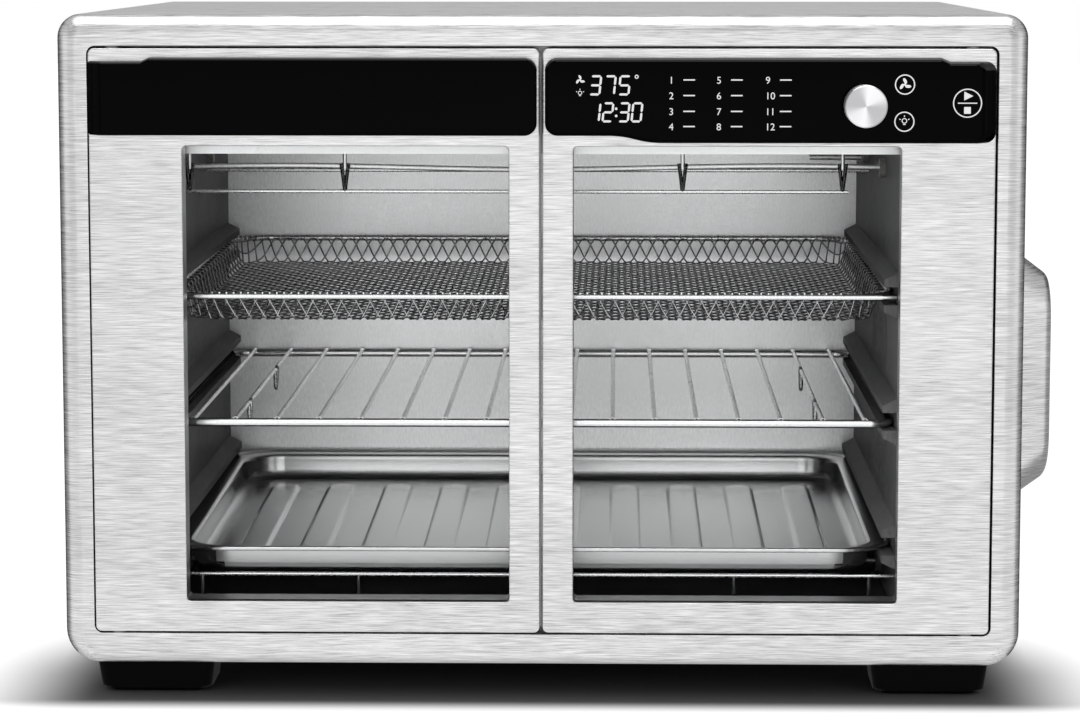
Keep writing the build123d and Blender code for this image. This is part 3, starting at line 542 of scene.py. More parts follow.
# Pressed cover over the fan motor
coverLow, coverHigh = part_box("motor_cover")
coverSet = {
    "lipAbove": 3 * mm,
    "lip": 6 * mm,
    "corner": 18 * mm,
    "cornerSteps": 10,
    "draft": 30,
    "tuck": 2.4 * mm,
    "round": 8.5 * mm,
    "steps": 10,
    "sheet": 1.2 * mm,
}
coverReach = coverHigh.x - wrapHigh.x
draft = math.radians(coverSet["draft"])
coverSection = [(0, -coverSet["tuck"]), (0, 0)]
roundStart = coverReach - coverSet["round"] * (1 - math.sin(draft))
roundInset = roundStart * math.tan(draft)
for step in range(coverSet["steps"] + 1):
    turn = draft + (math.pi / 2 - draft) * step / coverSet["steps"]
    coverSection.append((roundInset + coverSet["round"] * (math.cos(draft) - math.cos(turn)),
                         roundStart + coverSet["round"] * (math.sin(turn) - math.sin(draft))))
coverLoops = []
for inset, reach in coverSection:
    low = (coverLow.y + coverSet["lip"] + inset, coverLow.z + coverSet["lip"] + inset)
    high = (coverHigh.y - coverSet["lip"] - inset, coverHigh.z - coverSet["lipAbove"] - inset)
    coverLoops.append(outline("YZ", wrapHigh.x + reach, rectangle(low, high),
                              coverSet["corner"], coverSet["cornerSteps"]))
bm = bmesh.new()
stackLoops(bm, coverLoops, closeLast=True)
makePiece(bm, "motorCoverShell", sideSteel, "root", ["motor_cover"], wall=coverSet["sheet"])
print("cabinet shells made")

# Door skins: folded edges, a window opening with a rolled edge
doorSet = {
    "reach": 0.3 * mm,
    "corner": 3 * mm,
    "edge": 1.0 * mm,
    "edgeSteps": 4,
    "taper": 1.2 * mm,
    "glassOverlap": 6 * mm,
    "windowCorner": 2.2 * mm,
    "windowEdge": 0.7 * mm,
    "windowSteps": 3,
    "windowOuter": 0.8 * mm,
    "windowDepth": 1.1 * mm,
    "sheet": 1.2 * mm,
    "strip": 0.3 * mm,
    "stripDepth": (1.0 * mm, 3.0 * mm),
}
for side, hand in (("left", -1), ("right", 1)):
    skinLow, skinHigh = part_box(f"{side}_door_skin")
    glassLow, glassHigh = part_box(f"{side}_door_glass")
    lowX, highX = skinLow.x - doorSet["reach"], skinHigh.x + doorSet["reach"]
    lowZ, highZ = skinLow.z - doorSet["reach"], skinHigh.z + doorSet["reach"]
    doorPoints = rectangle((lowX, lowZ), (highX, highZ))
    foldLow = lowX + (doorSet["taper"] if hand > 0 else 0)
    foldHigh = highX - (doorSet["taper"] if hand < 0 else 0)
    foldPoints = rectangle((foldLow, lowZ), (foldHigh, highZ))
    overlap = doorSet["glassOverlap"]
    windowLow = glassLow.x + overlap + (doorSet["windowOuter"] if hand < 0 else 0)
    windowHigh = glassHigh.x - overlap - (doorSet["windowOuter"] if hand > 0 else 0)
    windowPoints = rectangle((windowLow, glassLow.z + overlap), (windowHigh, glassHigh.z - overlap))
    bm = bmesh.new()
    rows = stackLoops(bm, [
        outline("XZ", skinHigh.y, foldPoints, doorSet["corner"]),
        outline("XZ", faceY, doorPoints, doorSet["corner"]),
        outline("XZ", faceY, windowPoints, doorSet["windowCorner"]),
        outline("XZ", faceY + doorSet["windowDepth"], windowPoints, doorSet["windowCorner"]),
    ])
    roundEdges(bm, rows[2], doorSet["windowEdge"], doorSet["windowSteps"])
    roundEdges(bm, rows[1], doorSet["edge"], doorSet["edgeSteps"])
    makePiece(bm, f"{side}DoorShell", doorSteel, f"{side}_door", [f"{side}_door_skin"],
              wall=doorSet["sheet"])

# A pale strip on the left-hand door closes the gap behind the meeting edges
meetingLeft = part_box("left_door_skin")[1].x
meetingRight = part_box("right_door_skin")[0].x
stripLow = (meetingLeft - doorSet["edge"], skinLow.z + doorSet["corner"])
stripHigh = ((meetingLeft + meetingRight) / 2 + doorSet["strip"], skinHigh.z - doorSet["corner"])
bm = bmesh.new()
stackLoops(bm, [outline("XZ", faceY + depth, rectangle(stripLow, stripHigh), 0)
                for depth in doorSet["stripDepth"]], closeFirst=True, closeLast=True)
makePiece(bm, "doorMeetingStrip", whiteNylon, "left_door")
print("door skins made")

# Black panels: slanted outer ends, rounded face edges and a finger pocket underneath
panelSet = {
    "lower": 1.3 * mm,
    "outerInset": 5.8 * mm,
    "lip": 1.8 * mm,
    "lipSlope": 4 * mm,
    "lipStart": {"left": 26 * mm, "right": 22.5 * mm},
    "drop": {"left": 0, "right": 3.4 * mm},
    "dropStart": 36.05 * mm,
    "dropEnd": 50.05 * mm,
    "innerCorner": 6 * mm,
    "outerCorner": {"left": 1.2 * mm, "right": 5 * mm},
    "bend": 5 * mm,
    "edge": 2.6 * mm,
    "edgeSteps": 5,
    "edgeAngle": 0.5,
    "flat": 0.001 * mm,
    "highlightTopTurn": 0.15,
    "pocketInset": 10 * mm,
    "pocketWidth": 40 * mm,
    "pocketHeight": 9 * mm,
    "pocketWall": 1.7 * mm,
    "pocketBack": 0.4 * mm,
    "pocketTurn": -0.5,
}


def panelOutline(side, hand, depth, inset):
    low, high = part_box(f"{side}_panel")
    inner, outer = (low.x, high.x - inset) if hand > 0 else (high.x, low.x + inset)
    top, bottom = high.z - panelSet["lower"], low.z
    step = panelSet["drop"][side]
    lipEnd = outer - hand * (panelSet["lipStart"][side] - inset)
    points = [
        (inner, bottom + step),
        (inner + hand * panelSet["dropStart"], bottom + step),
        (inner + hand * panelSet["dropEnd"], bottom),
        (outer, bottom),
        (outer, top - panelSet["lip"]),
        (lipEnd, top - panelSet["lip"]),
        (lipEnd - hand * panelSet["lipSlope"], top),
        (inner, top),
    ]
    ends = panelSet["outerCorner"][side]
    bend = panelSet["bend"] if step else 0
    radii = [panelSet["innerCorner"], bend, bend, ends, ends, 0, 0, panelSet["innerCorner"]]
    return outline("XZ", depth, points, radii)


def cutPocket(bm, side, hand):
    low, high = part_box(f"{side}_panel")
    inner = low.x if hand > 0 else high.x
    near = inner + hand * panelSet["pocketInset"]
    far = near + hand * panelSet["pocketWidth"]
    front = low.y + panelSet["pocketWall"]
    back = faceY - panelSet["pocketBack"]
    for axis, place in (("x", near), ("x", far), ("y", front), ("y", back)):
        splitAt(bm, axis, place)
    left, right = sorted((near, far))
    floor = [face for face in bm.faces
             if face.normal.z < panelSet["pocketTurn"] and left < face.calc_center_median().x < right
             and front < face.calc_center_median().y < back]
    made = bmesh.ops.extrude_face_region(bm, geom=floor)["geom"]
    verts = [item for item in made if isinstance(item, bmesh.types.BMVert)]
    roof = low.z + panelSet["drop"][side] + panelSet["pocketHeight"]
    bmesh.ops.delete(bm, geom=floor, context="FACES")
    for vert in verts:
        vert.co.z = roof


for side, hand in (("left", -1), ("right", 1)):
    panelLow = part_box(f"{side}_panel")[0]
    bm = bmesh.new()
    stackLoops(bm, [
        panelOutline(side, hand, faceY, 0),
        panelOutline(side, hand, panelLow.y, panelSet["outerInset"]),
    ], closeFirst=True, closeLast=True)
    bmesh.ops.recalc_face_normals(bm, faces=bm.faces)
    cutPocket(bm, side, hand)
    front = [edge for edge in bm.edges if not edge.is_boundary
             and all(abs(vert.co.y - panelLow.y) < panelSet["flat"] for vert in edge.verts)
             and edge.calc_face_angle(0) > panelSet["edgeAngle"]]
    roundEdges(bm, front, panelSet["edge"], panelSet["edgeSteps"])
    bm.normal_update()
    # faces that look up take the shinier copy: a painted highlight along the top edge
    for face in bm.faces:
        if face.normal.z > panelSet["highlightTopTurn"]:
            face.material_index = 1
    panelMaterials = [blackGloss, blackGlossTopHighlight]
    makePiece(bm, f"{side}PanelMoulding", panelMaterials, f"{side}_door", [f"{side}_panel"])
print("panels made")

# Knob: a spun disc with a shallow dish and a bright turned edge
knobSet = {
    "dish": 0.25 * mm,
    "slope": {"out": 0.5, "middle": 0.75, "end": 0.1},
    "rim": 0.9 * mm,
    "edge": 0.5 * mm,
    "groove": 0.35 * mm,
    "skirt": 1.6 * mm,
    "steps": 96,
}
knobMid = (knobLow + knobHigh) / 2
knobRadius = (knobHigh.x - knobLow.x) / 2
front, back = knobLow.y, knobHigh.y
knobProfile = [
    (0, front + knobSet["dish"]),
    (knobRadius * knobSet["slope"]["out"], front + knobSet["dish"] * knobSet["slope"]["middle"]),
    (knobRadius - knobSet["rim"] - knobSet["edge"], front + knobSet["dish"] * knobSet["slope"]["end"]),
    (knobRadius - knobSet["rim"], front),
    (knobRadius - knobSet["edge"], front),
    (knobRadius, front + knobSet["edge"]),
    (knobRadius, back - knobSet["skirt"]),
    (knobRadius - knobSet["groove"], back - knobSet["skirt"]),
    (knobRadius - knobSet["groove"], back),
    (0, back),
]
bm = bmesh.new()
verts = [bm.verts.new((knobMid.x + radius, depth, knobMid.z)) for radius, depth in knobProfile]
edges = [bm.edges.new(pair) for pair in zip(verts, verts[1:])]
bmesh.ops.spin(bm, geom=verts + edges, cent=(knobMid.x, 0, knobMid.z), axis=(0, 1, 0), angle=math.tau,
               steps=knobSet["steps"], use_merge=True)
makePiece(bm, "controlKnobDisc", spunAluminiumPaintedFans, "knob", ["control_knob"], angle=30)

# Feet: tapered blocks with a rounded lower edge
footSet = {"corner": 5 * mm, "draft": 2 * mm, "edge": 1.6 * mm, "steps": 4}
for footName in ("front_left_foot", "front_right_foot", "rear_left_foot", "rear_right_foot"):
    footLow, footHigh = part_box(footName)
    bm = bmesh.new()
    rows = stackLoops(bm, [
        outline("XY", footHigh.z, insetRectangle(footLow, footHigh, 0), footSet["corner"]),
        outline("XY", footLow.z, insetRectangle(footLow, footHigh, footSet["draft"]), footSet["corner"]),
    ], closeFirst=True, closeLast=True)
    roundEdges(bm, rows[1], footSet["edge"], footSet["steps"])
    words = footName.split("_")
    pieceName = words[0] + words[1].title() + "FootBlock"
    makePiece(bm, pieceName, blackPlastic, "root", [footName])
print("knob and feet made")


# Wire pieces ride on the root: each path becomes a round wire, and a piece's wires share one mesh

def curveMesh(curve):
    holder = bpy.data.objects.new(curve.name, curve)
    scene.collection.objects.link(holder)
    mesh = bpy.data.meshes.new_from_object(holder.evaluated_get(bpy.context.evaluated_depsgraph_get()))
    bpy.data.objects.remove(holder)
    bpy.data.curves.remove(curve)
    return mesh


def makeWires(name, paths, material, replaced=(), sides=3, cyclic=False):
    curve = bpy.data.curves.new(name, "CURVE")
    curve.dimensions = "3D"
    curve.bevel_depth = 1.0
    curve.bevel_resolution = sides
    curve.use_fill_caps = True
    for points, radius in paths:
        spline = curve.splines.new("POLY")
        spline.points.add(len(points) - 1)
        for spot, point in zip(spline.points, points):
            spot.co = (*point, 1)
            spot.radius = radius
        spline.use_cyclic_u = cyclic
    mesh = curveMesh(curve)
    bm = bmesh.new()
    bm.from_mesh(mesh)
    bpy.data.meshes.remove(mesh)
    return makePiece(bm, name, material, "root", replaced, angle=60)


def bentPath(corners, radius, steps=5):
    bm = bmesh.new()
    verts = [bm.verts.new(point) for point in corners]
    for pair in zip(verts, verts[1:]):
        bm.edges.new(pair)
    bmesh.ops.bevel(bm, geom=verts[1:-1], offset=radius, offset_type="OFFSET", segments=steps,
                    profile=0.5, affect="VERTICES", material=-1)
    path = [verts[0]]
    edge = None
    while True:
        following = [item for item in path[-1].link_edges if item is not edge]
        if not following:
            break
        edge = following[0]
        path.append(edge.other_vert(path[-1]))
    points = [vert.co.copy() for vert in path]
    bm.free()
    return points


# Air-fry basket: woven diamond wire pressed into a shallow tub, hung from a rim wire
rimLow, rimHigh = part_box("basket_rim")
basketSet = {
    "rimWire": 1.5 * mm,
    "rimCorner": 27 * mm,
    "rimSteps": 10,
    "wire": 0.44 * mm,
    "across": 7.1 * mm,
    "along": 12.4 * mm,
    "weave": 0.08 * mm,
    "ledge": 5.0 * mm,
    "wall": 13.0 * mm,
    "lean": 5.0 * mm,
    "depth": 12.4 * mm,
    "ease": 0.5,
}
# The trays fill the cavity's width, and the basket and pan ride a little higher at the back
traySet = {
    "wider": 1.8 * mm,
    "forward": 3.0 * mm,
    "basketLift": 1.6 * mm,
    "basketRise": 3.7 * mm,
    "panRise": 5.0 * mm,
}
trayGrow = Vector((traySet["wider"], 0, 0))
trayFront = Vector((0, traySet["forward"], 0))
basketLift = Vector((0, 0, traySet["basketLift"]))
rimLow, rimHigh = rimLow - trayGrow - trayFront + basketLift, rimHigh + trayGrow + basketLift
rimMid = (rimLow + rimHigh) / 2
rimWire = basketSet["rimWire"]


def raised(point, low, high, rise):
    return point + Vector((0, 0, rise * (point.y - low.y) / (high.y - low.y)))


rimCorners = insetRectangle(rimLow, rimHigh, rimWire)
rimPath = [raised(point, rimLow, rimHigh, traySet["basketRise"]) for point in
           outline("XY", rimMid.z, rimCorners, basketSet["rimCorner"], basketSet["rimSteps"])]
makeWires("basketRimWire", [(rimPath, rimWire)], rimChromeShadedEdge, ["basket_rim"], sides=4, cyclic=True)
barPath = [Vector((x, rimLow.y + rimWire, rimMid.z)) for x in (rimLow.x, rimHigh.x)]
makeWires("basketFrontBar", [(barPath, rimWire)], rimChromeShadedEdge, sides=4)

sheetGrow = basketSet["wall"] - basketSet["lean"]
sheetHalf = (rimHigh.xy - rimLow.xy) / 2 - Vector((rimWire, rimWire)) + Vector((sheetGrow, sheetGrow))
sheetCorner = basketSet["rimCorner"] + sheetGrow


def tubPoint(u, v):
    # distance in from the sheet's edge, and the way inward,
    # then that distance folds over the ledge and down the wall
    overU = abs(u) - (sheetHalf.x - sheetCorner)
    overV = abs(v) - (sheetHalf.y - sheetCorner)
    if overU > 0 and overV > 0:
        span = math.hypot(overU, overV)
        inward = Vector((-math.copysign(overU, u), -math.copysign(overV, v))) / span
        distance = sheetCorner - span
    elif overU > overV:
        inward = Vector((-math.copysign(1, u), 0))
        distance = sheetHalf.x - abs(u)
    else:
        inward = Vector((0, -math.copysign(1, v)))
        distance = sheetHalf.y - abs(v)
    share = min(max((distance - basketSet["ledge"]) / basketSet["wall"], 0), 1)
    eased = share + (share * share * (3 - 2 * share) - share) * basketSet["ease"]
    across = min(distance, basketSet["ledge"]) + eased * basketSet["lean"]
    across += max(distance - basketSet["ledge"] - basketSet["wall"], 0)
    place = Vector((u, v)) + inward * (across - distance + sheetGrow)
    return distance, Vector((rimMid.x + place.x, rimMid.y + place.y, rimMid.z - basketSet["depth"] * eased))


# Four steps make a diamond, and at each crossing one strand passes over the other
netPaths = []
across, along = basketSet["across"], basketSet["along"]
rowCount = math.ceil(sheetHalf.y / along) * 2 + 2
strandCount = math.ceil((sheetHalf.x + sheetHalf.y * across / along) / across) + 1
for lean in (-1, 1):
    for strand in range(-strandCount, strandCount + 1):
        run = []
        for step in range(-2 * rowCount, 2 * rowCount + 1):
            u = strand * across + lean * step * across / 4
            v = step * along / 4
            if abs(u) > sheetHalf.x or abs(v) > sheetHalf.y:
                distance = -1
            else:
                distance, point = tubPoint(u, v)
            if distance > 0:
                over = math.cos(math.pi * (step / 2 + strand)) if step % 2 == 0 else 0
                lift = Vector((0, 0, lean * over * basketSet["weave"]))
                run.append(raised(point, rimLow, rimHigh, traySet["basketRise"]) + lift)
            if (distance <= 0 or step == 2 * rowCount) and len(run) > 1:
                netPaths.append((run, basketSet["wire"]))
            if distance <= 0:
                run = []
makeWires("basketNetWires", netPaths, netWire, ["basket_net"], sides=1)

# The strands' ends turn up round the rim wire
rimWrapSet = {"pitch": 3.55 * mm, "wire": 0.42 * mm, "bite": 0.8, "turn": (-40, 110), "steps": 7}
wrapReach = rimWire + rimWrapSet["wire"] * rimWrapSet["bite"]
start, end = rimWrapSet["turn"]
wrapShares = [step / rimWrapSet["steps"] for step in range(rimWrapSet["steps"] + 1)]
wrapTurns = [math.radians(start + (end - start) * share) for share in wrapShares]
wrapPaths = []
travelled, nextWrap = 0.0, 0.0
for first, second in zip(rimPath, rimPath[1:] + rimPath[:1]):
    length = (second - first).length
    along = (second - first).normalized()
    inward = Vector((-along.y, along.x, 0))
    while nextWrap < travelled + length:
        place = first + along * (nextWrap - travelled)
        wrap = [place + inward * math.cos(turn) * wrapReach + Vector((0, 0, math.sin(turn) * wrapReach))
                for turn in wrapTurns]
        wrapPaths.append((wrap, rimWrapSet["wire"]))
        nextWrap += rimWrapSet["pitch"]
    travelled += length
makeWires("basketRimWraps", wrapPaths, chromeWire, sides=1)
print("basket woven with", len(netPaths), "strands and", len(wrapPaths), "wraps")

# Wire rack: heavy rim, thin rods laid over it, two rods dipped
rackLow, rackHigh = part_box("wire_rack")
rackSet = {
    "rimWire": 2.1 * mm,
    "corner": 10 * mm,
    "rods": 17,
    "dipped": (1, 15),
    "pitch": 20.75 * mm,
    "rodWire": 1.15 * mm,
    "rodEnd": 0.6,
    "over": 1.5 * mm,
    "dips": (70 * mm, 209 * mm),
    "dipHalf": 5 * mm,
    "dipDepth": 11 * mm,
    "dipShape": ((-1, 0), (-0.35, 1), (0.35, 1), (1, 0)),
    "bend": 1.8 * mm,
    "weld": 1.45 * mm,
}
rackWire = rackSet["rimWire"]
rackLow, rackHigh = rackLow - trayGrow, rackHigh + trayGrow
rackMid = (rackLow + rackHigh) / 2
rackZ = rackHigh.z - rackWire
rackRim = outline("XY", rackZ, insetRectangle(rackLow, rackHigh, rackWire), rackSet["corner"])
makeWires("rackRimWire", [(rackRim, rackWire)], rimChromeShadedEdge, sides=4, cyclic=True)
rodPaths = []
rodZ = rackZ + rackSet["over"]
near, far = rackLow.y + rackWire * rackSet["rodEnd"], rackHigh.y - rackWire * rackSet["rodEnd"]
for rod in range(rackSet["rods"]):
    x = rackMid.x + (rod - (rackSet["rods"] - 1) / 2) * rackSet["pitch"]
    path = [Vector((x, near, rodZ)), Vector((x, far, rodZ))]
    if rod in rackSet["dipped"]:
        corners = path[:1]
        for dip in rackSet["dips"]:
            for shift, fall in rackSet["dipShape"]:
                y = near + dip + shift * rackSet["dipHalf"]
                corners.append(Vector((x, y, rodZ - fall * rackSet["dipDepth"])))
        path = bentPath(corners + path[1:], rackSet["bend"])
    rodPaths.append((path, rackSet["rodWire"]))
    for end, inside in ((near, 1), (far, -1)):
        weld = [Vector((x, end + inside * step, rodZ)) for step in (0, rackSet["weld"])]
        rodPaths.append((weld, rackSet["weld"]))
makeWires("rackRods", rodPaths, chromeWire, ["wire_rack"])
print("rack made")

# Bake pan: beaded edge, flat flange, leaning walls and a ribbed floor
panLow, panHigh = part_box("bake_pan")
panSet = {
    "corner": 30 * mm,
    "cornerShrink": 0.75,
    "floorCorner": 17 * mm,
    "bead": 1.3 * mm,
    "section": [  # inset from the edge and height over the flange
        (1.4, -1.1), (0.35, -0.9), (0.0, 0.0), (0.35, 0.9), (1.3, 1.3), (2.3, 0.9), (3.1, 0.15),
        (9.4, 0.0), (10.7, -0.3), (11.4, -1.3), (11.6, -3.0), (11.8, -8.4), (12.6, -10.7),
        (14.2, -12.2), (17.6, -12.9),
    ],
    "ribs": 10,
    "ribPitch": 32 * mm,
    "ribWidth": 17 * mm,
    "ribMargin": 24 * mm,
    "ribSection": [(0, -0.2), (0, 0), (0.77, 0.375), (1.65, 1.35), (2.86, 1.5)],
    "ribRound": 0.98,
    "ribSteps": 6,
    "frontDrop": 1.5 * mm,
    "frontReach": 13 * mm,
    "sheet": 0.8 * mm,
}
panLow, panHigh = panLow - trayGrow - trayFront, panHigh + trayGrow
flangeZ = panHigh.z - panSet["bead"]
panLoops = []
for inset, rise in panSet["section"]:
    radius = max(panSet["corner"] - inset * mm * panSet["cornerShrink"], panSet["floorCorner"])
    corners = insetRectangle(panLow, panHigh, inset * mm)
    panLoops.append(outline("XY", flangeZ + rise * mm, corners, radius))
bm = bmesh.new()
stackLoops(bm, panLoops, closeLast=True)
floorZ = panLoops[-1][0].z
panMid = (panLow + panHigh) / 2
floorInset = panSet["section"][-1][0] * mm + panSet["ribMargin"]
for rib in range(panSet["ribs"]):
    x = panMid.x + (rib - (panSet["ribs"] - 1) / 2) * panSet["ribPitch"]
    ribLoops = []
    for slope, rise in panSet["ribSection"]:
        half = panSet["ribWidth"] / 2 - slope * mm
        inset = floorInset + slope * mm
        corners = rectangle((x - half, panLow.y + inset), (x + half, panHigh.y - inset))
        radius = half * panSet["ribRound"]
        ribLoops.append(outline("XY", floorZ + rise * mm, corners, radius, panSet["ribSteps"]))
    stackLoops(bm, ribLoops, closeLast=True)
for vert in bm.verts:
    vert.co = raised(vert.co, panLow, panHigh, traySet["panRise"])
# the front wall below the flange takes the brighter copy: painted light
for face in bm.faces:
    spot = face.calc_center_median()
    if spot.z < flangeZ - panSet["frontDrop"] and spot.y < panLow.y + panSet["frontReach"]:
        face.material_index = 1
panMaterials = [panSteel, panFrontLitSteel]
makePiece(bm, "bakePanPressing", panMaterials, "root", ["bake_pan"],
          angle=50, wall=panSet["sheet"])
print("pan pressed")

# Heating tubes with a slight bow, and the wire guards on hangers and legs
tubeSet = {
    "radius": 2.0 * mm,
    "seen": 1.4 * mm,
    "bow": 1.0 * mm,
    "bows": 3,
    "steps": 24,
    "rearRise": 3.5 * mm,
}
tubeShares = [step / tubeSet["steps"] for step in range(tubeSet["steps"] + 1)]
for tubeNode, tubeName in (("top_heaters", "topHeaterTubes"), ("bottom_heaters", "bottomHeaterTubes")):
    tubeLow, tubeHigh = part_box(tubeNode)
    frontY, rearY = tubeLow.y + tubeSet["radius"], tubeHigh.y - tubeSet["radius"]
    tubePaths = []
    for y, rise in ((frontY, 0), (rearY, tubeSet["rearRise"])):
        z = (tubeLow.z + tubeHigh.z) / 2 + rise
        path = []
        for share in tubeShares:
            x = tubeLow.x + share * (tubeHigh.x - tubeLow.x)
            path.append(Vector((x, y, z + tubeSet["bow"] * math.sin(tubeSet["bows"] * math.pi * share))))
        tubePaths.append((path, tubeSet["seen"]))
    makeWires(tubeName, tubePaths, heaterSheath, [tubeNode], sides=5)

guardSet = {
    "wire": 1.0 * mm,
    "hangers": (4.6, 84.6, 258, 340),
    "legs": (18, 96, 283, 350),
    "rearRise": 3.3 * mm,
    "hangerHalf": 1.8 * mm,
    "hangerTop": 14.5 * mm,
    "hangerDip": 0.3 * mm,
    "hangerWire": 1.0 * mm,
    "strap": 1.1 * mm,
    "tail": 3 * mm,
    "bend": 0.7 * mm,
}
upperLow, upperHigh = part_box("top_guards")
lowerLow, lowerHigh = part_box("bottom_guards")
guardWire = guardSet["wire"]
upperPaths, hangerPaths, strapPaths, lowerPaths, legPaths = [], [], [], [], []
hangerPlaces = [upperLow.x + place * mm for place in guardSet["hangers"]]
y, z = upperLow.y + guardWire, upperLow.z + guardWire
top = z + guardSet["hangerTop"]
ends = (hangerPlaces[0] - guardSet["tail"], hangerPlaces[-1] + guardSet["tail"])
upperPaths.append(([Vector((x, y, z)) for x in ends], guardWire))
for x in hangerPlaces:
    corners = [Vector((x - guardSet["hangerHalf"], y, top)), Vector((x, y, z - guardSet["hangerDip"])),
               Vector((x + guardSet["hangerHalf"], y, top))]
    hangerPaths.append((bentPath(corners, guardSet["bend"]), guardSet["hangerWire"]))
    strap = [Vector((x, y, top - guardSet["tail"])), Vector((x, y, upperHigh.z))]
    strapPaths.append((strap, guardSet["strap"]))
# The rear wire has no hangers in sight and ends in the side walls
rearLow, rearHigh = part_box("cavity_back_wall")
rearWire = Vector((0, upperHigh.y - guardWire, z + guardSet["rearRise"]))
upperPaths.append(([rearWire + Vector((x, 0, 0)) for x in (rearLow.x, rearHigh.x)], guardWire))
for y in (lowerLow.y + guardWire, lowerHigh.y - guardWire):
    z = lowerHigh.z - guardWire
    lowerPaths.append(([Vector((lowerLow.x, y, z)), Vector((lowerHigh.x, y, z))], guardWire))
    for place in guardSet["legs"]:
        x = lowerLow.x + place * mm
        legPaths.append(([Vector((x, y, z)), Vector((x, y, lowerLow.z))], guardWire))
makeWires("topGuardWires", upperPaths, chromeWire, ["top_guards"])
# near-black hangers are painted shade; the straps take the bright cavity copy, painted light that sinks them
# into the back wall
makeWires("topGuardHangers", hangerPaths, hangerShadedSteel)
makeWires("topGuardStraps", strapPaths, cavityLitSteel)
makeWires("bottomGuardWires", lowerPaths, chromeWire, ["bottom_guards"])
makeWires("bottomGuardLegs", legPaths, netWire)
print("heaters and guards made")


# Control marks on the right-hand panel: lit numbers, a grid of numbered keys, rings with pictograms
markLook = {
    **greys(0.80, 0.90),
    "roughness": (0.5, 0.6),
    **even(800, 80),
    "bump": 5e-7,
}
whitePrintGlow = grained("whitePrintGlow", markLook)
# the marks glow: on the display digits this is their own light, on the printed keys, rings and signs it is
# painted light
setInputs(whitePrintGlow.node_tree.nodes["Principled BSDF"],
          {"Emission Color": (1, 1, 1, 1), "Emission Strength": 0.62})

# Places are in millimetres, across from the panel's inner end and up from the table
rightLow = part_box("right_panel")[0]
markSet = {"proud": 0.05 * mm, "left": 1.95 * mm, "steps": 40}
markY = rightLow.y - markSet["proud"]
markX = rightLow.x - markSet["left"]
markBm = bmesh.new()


def addPolygon(points):
    markBm.faces.new([markBm.verts.new((markX + x * mm, markY, z * mm)) for x, z in points])


def addRing(x, z, radius, line):
    steps = markSet["steps"]
    turns = [math.tau * step / steps for step in range(steps + 1)]
    for first, second in zip(turns, turns[1:]):
        corners = ((first, radius), (second, radius), (second, radius - line), (first, radius - line))
        addPolygon([(x + math.cos(turn) * size, z + math.sin(turn) * size) for turn, size in corners])


def addDisc(x, z, radius, squash=1.0, tilt=0.0):
    steps = markSet["steps"] // 2
    cosine, sine = math.cos(tilt), math.sin(tilt)
    points = []
    for step in range(steps):
        turn = math.tau * step / steps
        u, v = math.cos(turn) * radius, math.sin(turn) * radius * squash
        points.append((x + u * cosine - v * sine, z + u * sine + v * cosine))
    addPolygon(points)


def addBar(start, end, line):
    start, end = Vector(start), Vector(end)
    run = (end - start).normalized() * line / 2
    side = Vector((-run.y, run.x))
    addPolygon([start + side, start - side, end - side, end + side])


# Each segment's ends are in digit widths and half heights
digitSet = {
    "lit": {
        "0": "abcdef", "1": "bc", "2": "abged", "3": "abgcd", "4": "fgbc",
        "5": "afgcd", "6": "afgedc", "7": "abc", "8": "abcdefg", "9": "abcdfg",
    },
    "ends": {
        "a": ((0, 2), (1, 2)), "b": ((1, 1), (1, 2)), "c": ((1, 0), (1, 1)), "d": ((0, 0), (1, 0)),
        "e": ((0, 0), (0, 1)), "f": ((0, 1), (0, 2)), "g": ((0, 1), (1, 1)),
    },
    "thick": 0.5,
    "gap": 0.25,
    "slant": 0.10,
}


def addDigit(digit, x, z, width, height):
    thick = digitSet["thick"]
    for key in digitSet["lit"][digit]:
        start, end = (Vector((u * width, v * height / 2)) for u, v in digitSet["ends"][key])
        along = (end - start).normalized()
        across = Vector((-along.y, along.x)) * thick
        first = start + along * thick * digitSet["gap"]
        last = end - along * thick * digitSet["gap"]
        shape = [first, first + along * thick + across, last - along * thick + across, last,
                 last - along * thick - across, first + along * thick - across]
        addPolygon([(x + point.x + point.y * digitSet["slant"], z + point.y) for point in shape])


fanSignSet = {"blades": 3, "out": 0.58, "blade": 0.48, "squash": 0.5, "lean": 0.5, "hub": 0.2}
lampSignSet = {
    "up": 0.15,
    "bulb": (0.5, 0.16),
    "base": (0.24, -0.5, 0.17),
    "rays": (20, 90, 160),
    "rayStart": 0.7,
    "rayLine": 0.16,
}


def addFanSign(x, z, size):
    for blade in range(fanSignSet["blades"]):
        turn = math.radians(90 + 360 / fanSignSet["blades"] * blade)
        out = fanSignSet["out"] * size
        addDisc(x + math.cos(turn) * out, z + math.sin(turn) * out, size * fanSignSet["blade"],
                fanSignSet["squash"], turn + fanSignSet["lean"])
    addDisc(x, z, size * fanSignSet["hub"])


def addLampSign(x, z, size):
    bulbZ = z + size * lampSignSet["up"]
    radius, line = lampSignSet["bulb"]
    addRing(x, bulbZ, size * radius, size * line)
    half, rise, line = lampSignSet["base"]
    addBar((x - size * half, z + size * rise), (x + size * half, z + size * rise), size * line)
    for turn in lampSignSet["rays"]:
        run, rise = size * math.cos(math.radians(turn)), size * math.sin(math.radians(turn))
        near = lampSignSet["rayStart"]
        begin, end = (x + run * near, bulbZ + rise * near), (x + run, bulbZ + rise)
        addBar(begin, end, size * lampSignSet["rayLine"])


